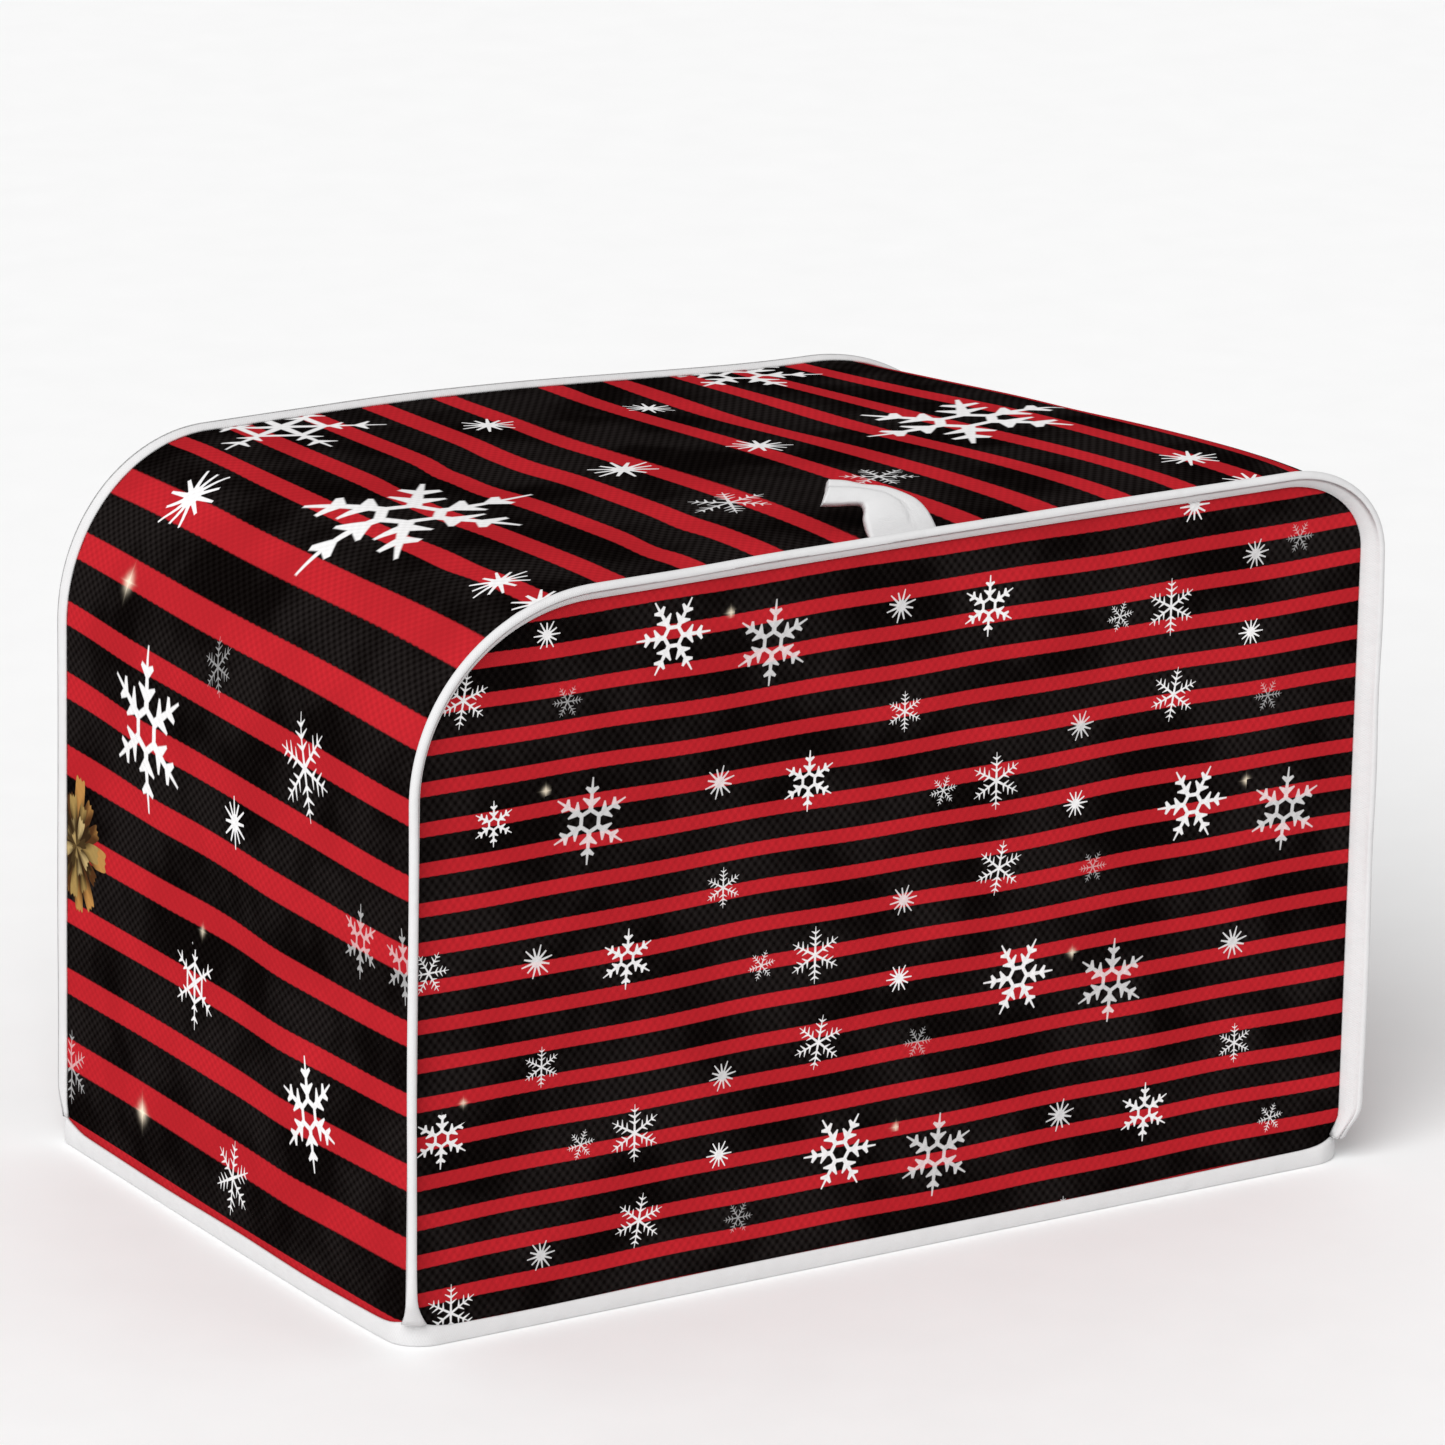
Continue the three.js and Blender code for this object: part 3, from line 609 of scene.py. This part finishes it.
def build_binding(name, node, seam, binding, sizes):
    """Tape folded over a raised seam, with a round tip, soft flanks and its two edges over the cloth."""
    foot = sizes.hem_height + 0.6 * HEM_CORNER_RISE
    line = partial(seam_line, seam)
    u, lengths = even_stations(line, 2 * MM)
    shown = line(u)[:, 1] > foot
    u, lengths = u[shown], lengths[shown]
    corner = line(u)
    normal = outward(line, u)
    z = corner[:, 1]
    tuck = binding.tuck * (1 - ease((z - foot) / BINDING_TUCK_REACH))
    lean = np.radians(np.interp(u, range(6), binding.lean)) + 0.03 * np.sin(lengths / 0.017)
    uneven = 1 + 0.025 * np.sin(lengths / 0.011 + 2 * np.sin(lengths / 0.043))
    width = along_stretches(binding.width, u) * (1 - tuck) * uneven
    root_in, _ = drawn_in(0.0, z, seam.side, sizes.hem_height)
    lap_in, lap_aside = drawn_in(BINDING_LAP, z, seam.side, sizes.hem_height)
    swell = strip_swell(u, 0.5 + seam.side * (0.5 - BINDING_LAP / DEPTH))
    half = binding.thickness / 2 + binding.flare * np.exp(-(z - foot) / BINDING_FLARE_REACH)
    out = np.stack([np.cos(lean), np.sin(lean)], -1)
    side = np.stack([np.sin(lean), -np.cos(lean)], -1)
    root = -np.stack([root_in, root_in], -1)

    def at(reach, aside):
        return root + out * reach[:, None] + side * aside[:, None]

    over = BINDING_CLEAR - lap_in
    beside = -BINDING_LAP - lap_aside
    strip_lap = np.stack([over + swell, beside], -1)
    panel_lap = np.stack([beside, over], -1)
    tape = sizes.tape * 0.55
    strip_edge = strip_lap + np.array([tape, 0])
    panel_edge = panel_lap + np.array([0, tape])
    flanks = [0.34, 0.55, 0.78]
    rings = [root + BINDING_CLEAR, strip_lap, strip_edge]
    rings += [at(width * reach, half * (0.86 + 0.14 * reach)) for reach in flanks]
    tip = binding.thickness / 2
    for turn in np.linspace(np.pi / 2, -np.pi / 2, 9):
        rings.append(at(width - tip + tip * math.cos(turn), half * math.sin(turn)))
    rings += [at(width * reach, -half * (0.86 + 0.14 * reach)) for reach in flanks[::-1]]
    rings += [panel_edge, panel_lap]
    section = np.stack(rings, 1)
    points = to_frame(
        corner[:, None, 0] + normal[:, None, 0] * section[..., 0],
        seam.side * (DEPTH / 2 + section[..., 1]),
        corner[:, None, 1] + normal[:, None, 1] * section[..., 0],
    )
    piece = looped_bar(name, points, closed=False)
    wrap_tape(piece, lengths, section)
    finish_piece(piece, node)


def wrap_tape(piece, lengths, section):
    """Tape coordinates: along the tape, and round its section from one edge to the other."""
    mesh = piece.data
    steps = np.linalg.norm(np.diff(section, axis=1), axis=2).mean(0)
    around = np.concatenate([[0], np.cumsum(steps)])
    flat = np.stack(np.broadcast_arrays(lengths[:, None], around[None, :]), -1).reshape(-1, 2)
    spare = len(mesh.vertices) - len(flat)
    flat = np.vstack([flat, np.zeros((spare, 2))])
    vertex = np.empty(len(mesh.loops), int)
    mesh.loops.foreach_get("vertex_index", vertex)
    spread = flat[vertex]
    if not spare:
        last_faces = np.arange(len(vertex)) >= 4 * len(around) * (len(lengths) - 1)
        spread[last_faces & (vertex < len(around)), 0] += lengths[-1] + lengths[1]
    mesh.uv_layers.new(name="tape").data.foreach_set("uv", spread.ravel())
    mesh.materials.append(binding_tape())


def hem_outline(growth):
    """Plan outline of the hem, grown outwards from the cloth, and each point's distance to a corner."""
    half_x = LENGTH / 2 + growth
    half_y = DEPTH / 2 + growth
    arc = np.linspace(0, np.pi / 2, 9)
    points = []

    def run(start, end):
        count = int(round(abs(end - start) / HEM_STEP))
        return np.linspace(start, end, count + 1)[1:-1]

    def corner(sx, sy, turns):
        radius = max(foot_corner(sy) + growth, 0.2 * MM)
        for turn in turns:
            x = half_x - radius * (1 - math.cos(turn))
            y = half_y - radius * (1 - math.sin(turn))
            points.append((sx * x, sy * y))

    front, back = FRONT_FOOT_CORNER + growth, BACK_FOOT_CORNER + growth
    corner(1, 1, arc)
    points.extend((x, half_y) for x in run(half_x - back, back - half_x))
    corner(-1, 1, arc[::-1])
    points.extend((-half_x, y) for y in run(half_y - back, front - half_y))
    corner(-1, -1, arc)
    points.extend((x, -half_y) for x in run(front - half_x, half_x - front))
    corner(1, -1, arc[::-1])
    points.extend((half_x, y) for y in run(front - half_y, half_y - back))
    x, y = np.array(points).T
    distance = np.hypot(half_x - np.abs(x), half_y - np.abs(y))
    share = (np.clip(y, -DEPTH / 2, DEPTH / 2) + DEPTH / 2) / DEPTH
    swell = np.where(x < 0, -strip_swell(np.zeros_like(x), share), strip_swell(np.full_like(x, 5.0), share))
    return np.where(np.abs(x) > LENGTH / 4, x + swell, x), y, distance


def build_hem(sizes):
    """Tape folded under the cloth's lower edge: a soft upright U in section, flat underneath."""
    tape, tall = sizes.tape, sizes.hem_height
    near = 0.1 * MM
    face = near + tape + 0.25 * MM
    inside = -sizes.cloth - near
    # Growth out of the cloth's face, height, and share of the climb at the corners
    section = [
        (face - 0.9 * tape, 0, 0), (face - 0.25 * tape, 0.12 * tape, 0), (face, 0.7 * tape, 0),
        (face + 0.1 * tape, 0.45 * tall, 0.4), (face - 0.05 * tape, 0.8 * tall, 0.9),
        (face - 0.3 * tape, tall - 0.25 * tape, 1), (face - 0.65 * tape, tall, 1),
        (near, tall - 0.2 * tape, 1), (near, tape, 0), (inside, tape, 0),
        (inside, tall - 0.2 * tape, 0.5), (inside - 0.5 * tape, tall, 0.5),
        (inside - tape, tall - 0.4 * tape, 0.5), (inside - tape, 0.3 * tape, 0), (inside - 0.7 * tape, 0, 0),
    ]
    x, y, _ = hem_outline(0)
    around = np.cumsum(np.hypot(x - np.roll(x, 1), y - np.roll(y, 1)))
    around -= around[0]
    rings = []
    for growth, height, climbs in section:
        x, y, distance = hem_outline(growth)
        climb = HEM_CORNER_RISE * np.exp(-((distance / HEM_RISE_REACH) ** 2))
        uneven = HEM_WAVER * np.sin(around / 0.019 + 2 * np.sin(around / 0.07))
        rings.append(to_frame(x, y, height + climbs * (climb + uneven)))
    piece = looped_bar("hem_tape", np.stack(rings, 1), closed=True)
    outline = np.array([[growth, height] for growth, height, _ in section])
    wrap_tape(piece, around, np.broadcast_to(outline, (len(around), *outline.shape)))
    finish_piece(piece, "hem_binding")


def smooth_rows(values, count):
    """A smooth curve through the rows of a table, read at evenly spaced places."""
    rows = np.asarray(values, float)
    places = np.linspace(0, len(rows) - 1, count)
    slopes = np.gradient(rows, axis=0)
    first = np.minimum(places.astype(int), len(rows) - 2)
    v = (places - first).reshape(-1, *([1] * (rows.ndim - 1)))
    a, b, da, db = rows[first], rows[first + 1], slopes[first], slopes[first + 1]
    through = a * (1 + 2 * v) * (1 - v) ** 2 + b * v * v * (3 - 2 * v)
    return through + da * v * (1 - v) ** 2 + db * v * v * (v - 1)


def build_loop(sizes):
    """Two tape legs side by side in the seam, turned left and pressed together at the folded end."""
    count = 60
    inner, crease, outer = (
        smooth_rows([getattr(section, edge) for section in LOOP_SECTIONS], count) * MM
        for edge in ("inner", "crease", "outer")
    )
    tilt = np.radians(smooth_rows([[section.tilt] for section in LOOP_SECTIONS], count)[:, 0])
    half = LOOP_THICKNESS / 2
    raised = ease(np.linspace(0, 3, count))

    def place(plane, depth):
        x = LOOP_FOOT[0] + plane[:, 0]
        y = LOOP_FOOT[1] + plane[:, 1] * math.sin(LOOP_LEAN) - depth * np.cos(tilt)
        z = LOOP_FOOT[2] + plane[:, 1] * math.cos(LOOP_LEAN) + depth * np.sin(tilt)
        return to_frame(x, y, z)

    def across(share):
        """From the inner edge (0) over the crease (0.5) to the outer edge (1)."""
        if share <= 0.5:
            return inner + (crease - inner) * share * 2
        return crease + (outer - crease) * (share * 2 - 1)

    def lift(share):
        """The inner leg lies over the outer one, and both are a little rounded."""
        over = LOOP_LAP * float(1 - ease((share - 0.55) / 0.1))
        middle = 0.28 if share < 0.6 else 0.82  # of the leg
        rounded = LOOP_ROUNDING * (1 - ((share - middle) / 0.32) ** 2)
        return (over + rounded) * raised

    front, back = [], []
    for share in LOOP_SHARES:
        thin = half * (0.45 + 0.55 * math.sin(math.pi * min(max(share, 0.03), 0.97)) ** 0.4)
        front.append(place(across(share), lift(share) + thin))
        back.append(place(across(share), lift(share) * 0.6 - thin))
    rings = np.stack([*front, *back[::-1]], 1)
    piece = looped_bar("pull_loop_tape", rings, closed=False)
    lengths = np.linspace(0, LOOP_LENGTH, count)
    profile = np.stack([np.linspace(0, LOOP_GIRTH, rings.shape[1]), np.zeros(rings.shape[1])], -1)
    wrap_tape(piece, lengths, np.broadcast_to(profile, (count, *profile.shape)))
    finish_piece(piece, "pull_loop")


def declare_sheets():
    """Steps along the strip's middle line, one panel length apart; the result is not used."""
    _, lengths = even_stations(middle_line, LENGTH)


class Number:
    """A number that varies over the surface. Sums, products and the like add Math nodes."""

    def __init__(self, shader, socket):
        self.shader = shader
        self.socket = socket

    def math(self, operation, *others):
        values = [self.socket, *(other.socket if isinstance(other, Number) else other for other in others)]
        node = self.shader.node("ShaderNodeMath", {"operation": operation}, dict(enumerate(values)))
        return Number(self.shader, node.outputs[0])

    __add__ = __radd__ = partialmethod(math, "ADD")
    __mul__ = __rmul__ = partialmethod(math, "MULTIPLY")
    __sub__ = partialmethod(math, "SUBTRACT")
    __truediv__ = partialmethod(math, "DIVIDE")
    __pow__ = partialmethod(math, "POWER")
    sin = partialmethod(math, "SINE")
    cos = partialmethod(math, "COSINE")
    size = partialmethod(math, "ABSOLUTE")
    least = partialmethod(math, "MINIMUM")
    most = partialmethod(math, "MAXIMUM")

    def __rsub__(self, other):
        return self * -1 + other

    def __rtruediv__(self, other):
        return self ** -1 * other

    def mask(self, low, high):
        """0 up to low and 1 from high, with a soft edge between; low may be the larger one."""
        settings = {"interpolation_type": "SMOOTHSTEP"}
        low_to, high_to = (0, 1) if low < high else (1, 0)
        inputs = {0: self.socket, 1: min(low, high), 2: max(low, high), 3: low_to, 4: high_to}
        return Number(self.shader, self.shader.node("ShaderNodeMapRange", settings, inputs).outputs[0])


class Shader:
    """The nodes of one material."""

    def __init__(self, name):
        self.material = bpy.data.materials.new(name)
        self.material.use_nodes = True
        self.tree = self.material.node_tree
        self.surface = self.tree.nodes["Principled BSDF"]

    def node(self, kind, settings=None, inputs=None):
        """A node of a kind, with its settings made first and its inputs set or linked."""
        node = self.tree.nodes.new(kind)
        for name, value in (settings or {}).items():
            setattr(node, name, value)
        for name, value in (inputs or {}).items():
            if isinstance(value, Number):
                value = value.socket
            if isinstance(value, bpy.types.NodeSocket):
                self.tree.links.new(value, node.inputs[name])
            else:
                node.inputs[name].default_value = value
        return node

    def uv(self, name):
        """The two coordinates of a UV map, as a vector socket and two numbers."""
        vector = self.node("ShaderNodeUVMap", {"uv_map": name}).outputs[0]
        apart = self.node("ShaderNodeSeparateXYZ", inputs={0: vector}).outputs
        return vector, Number(self, apart[0]), Number(self, apart[1])

    def attribute(self, name):
        node = self.node("ShaderNodeAttribute", {"attribute_type": "GEOMETRY", "attribute_name": name})
        return Number(self, node.outputs["Fac"])

    def noise(self, vector, scale, detail=2.0, roughness=0.5):
        inputs = {"Vector": vector, "Scale": scale, "Detail": detail, "Roughness": roughness}
        return Number(self, self.node("ShaderNodeTexNoise", None, inputs).outputs[0])

    def blend(self, share, first, second):
        """A colour from first (share 0) to second (share 1)."""
        settings = {"data_type": "RGBA", "clamp_factor": True}
        node = self.node("ShaderNodeMix", settings, {0: share})
        for socket, colour in ((node.inputs[6], first), (node.inputs[7], second)):
            if isinstance(colour, bpy.types.NodeSocket):
                self.tree.links.new(colour, socket)
            else:
                socket.default_value = (*colour, 1)
        return node.outputs[2]

    def finish(self, colour, roughness, height, distance):
        """Links what varies over the surface; height is in units of distance."""
        bump = self.node("ShaderNodeBump", None, {"Distance": distance, "Height": height})
        self.tree.links.new(colour, self.surface.inputs["Base Color"])
        self.tree.links.new(roughness.socket, self.surface.inputs["Roughness"])
        self.tree.links.new(bump.outputs[0], self.surface.inputs["Normal"])
        return self.material


def scaled(colour, share):
    return tuple(share * c for c in colour)


def six_arms(x, y):
    """Coordinates along and beside the nearest of six arms, from the two of a motif."""
    radius = (x * x + y * y) ** 0.5
    angle = y.math("ARCTAN2", x)
    sector = math.pi / 3
    turn = ((angle + 2 * math.pi + sector / 2).math("MODULO", sector) - sector / 2).size()
    return radius, turn, radius * turn.cos(), radius * turn.sin()


def spike(lengthwise, crosswise, long, wide):
    """Depth inside a bar from 0 to long that narrows to a point; wide is half its width at its middle."""
    narrowing = 1.4 * wide - lengthwise * (1.1 * wide / long)
    return (narrowing - crosswise).least(long / 2 - (lengthwise - long / 2).size())


def snowflake(along, beside, arm, branches):
    """Depth inside a snowflake: an arm, and branches that leave it outwards at sixty degrees."""
    shape = spike(along, beside, 1, arm)
    for at, long, wide in branches:
        lengthwise = (along - at) * COS_60 + beside * SIN_60
        crosswise = (beside * COS_60 - (along - at) * SIN_60).size()
        shape = shape.most(spike(lengthwise, crosswise, long, wide))
    return shape


def towards_side(along, beside):
    """Distance from the middle of a motif, square to the sides of a six-sided ring."""
    return along * SIN_60 + beside * COS_60


def ring(along, beside, radius, width):
    """Depth inside a six-sided ring whose corners lie on the arms."""
    return width - (towards_side(along, beside) - radius).size()


def motif_masks(shader):
    """Masks of the white motifs, the sparkles and the cone, each with its strength."""
    _, x, y = shader.uv("motif")
    kind = shader.attribute("kind")
    strength = shader.attribute("strength")
    radius, turn, along, beside = six_arms(x, y)

    def only(which):
        return (kind - which).size().mask(0.6, 0.4)

    def printed(depth, which):
        return depth.mask(-0.012, 0.012) * only(which)

    stellar = snowflake(along, beside, 0.055, ((0.4, 0.25, 0.06), (0.68, 0.24, 0.05)))
    stellar = stellar.least(0.62 - along * 0.6 - beside)
    stellar = stellar.most(ring(along, beside, 0.22, 0.045)).least(towards_side(along, beside) - 0.175)
    fern = snowflake(along, beside, 0.032, ((0.34, 0.24, 0.03), (0.55, 0.27, 0.03), (0.76, 0.18, 0.028)))
    ringed = snowflake(along, beside, 0.036, ((0.5, 0.16, 0.034), (0.74, 0.18, 0.034)))
    ringed = ringed.most(ring(along, beside, 0.36, 0.036))
    ray_turn = (turn - math.pi / 12).size() * -1 + math.pi / 12
    rays = (0.085 - radius * 0.05 - radius * ray_turn.sin()).least(1 - turn * 0.35 - radius)
    burst = rays.most(0.33 - radius)
    white = printed(stellar, STELLAR).most(printed(fern, FERN))
    white = white.most(printed(ringed, RING_FERN)).most(printed(burst, BURST))

    cross = (0.05 / (x.size() + 0.05)).most(0.05 / (y.size() + 0.05)) * radius.mask(0.9, 0.1)
    glow = (radius.mask(0.7, 0.0) ** 3 * 0.8 + cross ** 2 * 0.45).least(1) * only(SPARKLE)
    return white * strength, glow * strength, (x, y, radius, only(CONE))


def cone_scales(shader, x, y, radius, only):
    """A pine cone seen from its end: layers of ragged scales, each with a lit middle."""
    angle = y.math("ARCTAN2", x) / (2 * math.pi) + 0.5
    colour = CONE_GROUND
    inside = radius * 0
    for count, start, reach, dark, light in CONE_LAYERS:
        around = angle * count + start
        number = around.math("FLOOR")
        aside = (around - number - 0.5).size() * 2
        uneven = (number * 2.4 + start).sin()
        edge = reach * (0.86 + uneven * 0.14) - aside ** 3 * 0.3 - (aside * 9).sin() * 0.035
        scale = (edge - radius).mask(-0.015, 0.015)
        tint = ((1 - aside) * 0.55 + uneven * 0.42 + (radius - reach * 0.66) * 1.8).mask(0.05, 0.95)
        colour = shader.blend(scale, colour, shader.blend(tint, dark, light))
        inside = inside.most(scale)
    return colour, inside * only


def knit_height(u, v, pitch):
    """Height of the mesh knit: soft dots in staggered rows."""
    return (u * (2 * math.pi / pitch)).cos() * (v * (1.7 * math.pi / pitch)).cos() * 0.5 + 0.5


_made = {}


def once(make):
    """Makes a material at its first use and hands out the same one afterwards."""
    def made():
        if make.__name__ not in _made:
            _made[make.__name__] = make(bpy.context.scene.cover_sizes, bpy.context.scene.cover_colours)
        return _made[make.__name__]
    return made


@once
def printed_knit(sizes, colours):
    shader = Shader("printed_knit")
    vector, u, v = shader.uv("cloth")
    dots = knit_height(u, v, sizes.knit_pitch)
    cloudy = shader.noise(vector, CLOUDS, 3)
    fibres = shader.noise(vector, KNIT_FIBRES, 2)
    ragged = (dots - 0.5) * 0.012 + (fibres - 0.5) * 0.02
    phase = shader.attribute("stripe") + 0.5
    off_middle = (phase - phase.math("FLOOR") - 0.5).size()
    stripe = (off_middle + ragged).mask(RED_SHARE + STRIPE_EDGE, RED_SHARE - STRIPE_EDGE)

    shown = cloudy.mask(0.36, 0.64)
    lit = ((dots - 0.5) * (shown * 0.6 + 0.25) + (fibres - 0.5) * 0.4 + shown * 0.42 + 0.14).least(1).most(0)
    ground = shader.blend(lit, colours.black, colours.charcoal)
    band = shader.blend(lit, scaled(colours.crimson, 0.84), scaled(colours.crimson, 1.12))
    colour = shader.blend(stripe, ground, band)
    white, glow, cone = motif_masks(shader)
    snow = shader.blend(lit, scaled(colours.snow, 0.88), colours.snow)
    colour = shader.blend(white, colour, snow)
    cone_colour, cone_mask = cone_scales(shader, *cone)
    colour = shader.blend(cone_mask, colour, cone_colour)
    colour = shader.blend(glow, colour, SPARKLE_COLOUR)

    roughness = 0.56 + dots * 0.08 + (fibres - 0.5) * 0.1
    shader.surface.inputs["Specular IOR Level"].default_value = 0
    return shader.finish(colour, roughness, dots * 0.8 + fibres * 0.2, KNIT_RELIEF)


@once
def knit_back(sizes, colours):
    shader = Shader("knit_back")
    vector, u, v = shader.uv("cloth")
    dots = knit_height(u, v, sizes.knit_pitch)
    fibres = shader.noise(vector, BACK_FIBRES, 2)
    lit = dots * 0.6 + fibres * 0.4
    colour = shader.blend(lit, colours.black, colours.charcoal)
    shader.surface.inputs["Specular IOR Level"].default_value = 0
    return shader.finish(colour, fibres * 0.1 + 0.7, dots, KNIT_RELIEF)


@once
def binding_tape(sizes, colours):
    shader = Shader("binding_tape")
    vector, along, across = shader.uv("tape")
    rows = (along * (2 * math.pi / TAPE_ROW)).sin()
    ribs = rows * (across * (2 * math.pi / TAPE_RIB)).sin() * 0.5 + 0.5
    fibres = shader.noise(vector, TAPE_FIBRES, 3)
    cloudy = shader.noise(vector, 2 * CLOUDS, 2)
    lit = (ribs * 0.3 + fibres * 0.4 + cloudy * 0.6 - 0.2).least(1).most(0)
    colour = shader.blend(lit, scaled(colours.tape, 0.86), colours.tape)
    crumpled = shader.noise(vector, TAPE_CRUMPLES, 2)
    shader.surface.inputs["Specular IOR Level"].default_value = 0.2
    height = ribs * 0.12 + fibres * 0.12 + crumpled * 1.2
    return shader.finish(colour, fibres * 0.1 + 0.66, height, TAPE_RELIEF)


def floor_material():
    shader = Shader("pale_floor")
    vector = shader.node("ShaderNodeTexCoord").outputs["Object"]
    grain = shader.noise(vector, 40, 3)
    colour = shader.blend(grain, *FLOOR_COLOURS)
    return shader.finish(colour, grain * 0.1 + 0.6, grain, 0.1 * MM)


def add_floor():
    bpy.ops.mesh.primitive_plane_add(size=FLOOR_SIZE, location=(0, 0, 0))
    floor = bpy.context.object
    floor.name = "floor"
    floor.data.materials.append(floor_material())


def add_sun(name, towards, spread, strength):
    """Even light from a broad patch of sky; towards points from the cover to it."""
    light = bpy.data.lights.new(name, "SUN")
    light.angle = math.radians(spread)
    light.energy = strength
    lamp = bpy.data.objects.new(name, light)
    bpy.context.collection.objects.link(lamp)
    lamp.location = towards
    lamp.rotation_euler = Vector(towards).to_track_quat("Z", "Y").to_euler()


def add_camera():
    """The photograph's viewing angle, turned so that the cover has its place in the frame."""
    sin_a, cos_a = math.sin(CAMERA_AZIMUTH), math.cos(CAMERA_AZIMUTH)
    sin_e, cos_e = math.sin(CAMERA_ELEVATION), math.cos(CAMERA_ELEVATION)
    view = Vector((sin_a * cos_e, cos_a * cos_e, -sin_e))
    level = Vector((cos_a, -sin_a, 0))
    upright = level.cross(view)
    right = level * math.cos(CAMERA_ROLL) + upright * math.sin(CAMERA_ROLL)
    up = upright * math.cos(CAMERA_ROLL) - level * math.sin(CAMERA_ROLL)
    beside = IMAGE_PIXELS / 2 - OBJECT_PIXEL[0]
    above = OBJECT_PIXEL[1] - IMAGE_PIXELS / 2
    forward = (view * CAMERA_FOCAL_PIXELS + right * beside + up * above).normalized()
    right = (right - forward * right.dot(forward)).normalized()
    up = right.cross(forward)
    data = bpy.data.cameras.new("photo_camera")
    data.sensor_width = SENSOR_WIDTH
    data.lens = CAMERA_FOCAL_PIXELS / IMAGE_PIXELS * SENSOR_WIDTH
    camera = bpy.data.objects.new("photo_camera", data)
    bpy.context.collection.objects.link(camera)
    place = Vector((*CENTRE, CAMERA_AIM_HEIGHT)) - view * CAMERA_DISTANCE
    camera.matrix_world = Matrix.Translation(place) @ Matrix((right, up, -forward)).transposed().to_4x4()
    bpy.context.scene.camera = camera


class AddPanels(bpy.types.Operator):
    """Front and back panels of printed knit"""

    bl_idname = "cover.add_panels"
    bl_label = "Panels"

    def execute(self, context):
        sizes = context.scene.cover_sizes
        build_panel("front_cloth", "front_panel", FRONT_SEAM, FRONT_FOLDS, sizes)
        build_panel("back_cloth", "back_panel", BACK_SEAM, BACK_FOLDS, sizes)
        return {"FINISHED"}


class AddStrip(bpy.types.Operator):
    """The long strip that makes both walls and the top"""

    bl_idname = "cover.add_strip"
    bl_label = "Strip"

    def execute(self, context):
        build_strip(context.scene.cover_sizes)
        return {"FINISHED"}


class AddBindings(bpy.types.Operator):
    """White tape over the two raised seams and the hem"""

    bl_idname = "cover.add_bindings"
    bl_label = "Bindings"

    def execute(self, context):
        sizes = context.scene.cover_sizes
        build_binding("front_seam_tape", "front_seam_binding", FRONT_SEAM, FRONT_BINDING, sizes)
        build_binding("back_seam_tape", "back_seam_binding", BACK_SEAM, BACK_BINDING, sizes)
        build_hem(sizes)
        return {"FINISHED"}


class AddLoop(bpy.types.Operator):
    """The pull loop of white tape"""

    bl_idname = "cover.add_loop"
    bl_label = "Pull loop"

    def execute(self, context):
        build_loop(context.scene.cover_sizes)
        return {"FINISHED"}


class AddStage(bpy.types.Operator):
    """Pale floor, soft light and the camera"""

    bl_idname = "cover.add_stage"
    bl_label = "Stage"

    def execute(self, context):
        add_floor()
        add_sun("key_light", KEY_LIGHT_FROM, KEY_LIGHT_SPREAD, KEY_LIGHT_STRENGTH)
        world = context.scene.world or bpy.data.worlds.new("studio")
        context.scene.world = world
        world.use_nodes = True
        background = world.node_tree.nodes["Background"]
        background.inputs["Color"].default_value = (1, 1, 1, 1)
        background.inputs["Strength"].default_value = SKY_STRENGTH
        context.scene.view_settings.view_transform = "Standard"
        add_camera()
        return {"FINISHED"}


class CoverPanel(bpy.types.Panel):
    """Lists the steps that build the cover"""

    bl_idname = "VIEW3D_PT_cover"
    bl_label = "Toaster cover"
    bl_space_type = "VIEW_3D"
    bl_region_type = "UI"
    bl_category = "Cover"

    def draw(self, context):
        for settings in (context.scene.cover_sizes, context.scene.cover_colours):
            for name in settings.__annotations__:
                self.layout.prop(settings, name)
        for operator in OPERATORS:
            self.layout.operator(operator.bl_idname)


OPERATORS = (AddStage, AddPanels, AddStrip, AddBindings, AddLoop)
CLASSES = (CoverSizes, CoverColours, *OPERATORS, CoverPanel)


def register():
    for cls in CLASSES:
        bpy.utils.register_class(cls)
    bpy.types.Scene.cover_sizes = bpy.props.PointerProperty(type=CoverSizes)
    bpy.types.Scene.cover_colours = bpy.props.PointerProperty(type=CoverColours)


def unregister():
    del bpy.types.Scene.cover_colours
    del bpy.types.Scene.cover_sizes
    for cls in reversed(CLASSES):
        bpy.utils.unregister_class(cls)


def main():
    register()
    bpy.ops.cover.add_stage()
    bpy.ops.cover.add_panels()
    bpy.ops.cover.add_strip()
    bpy.ops.cover.add_bindings()
    bpy.ops.cover.add_loop()
    declare_sheets()


if __name__ == "__main__":
    main()
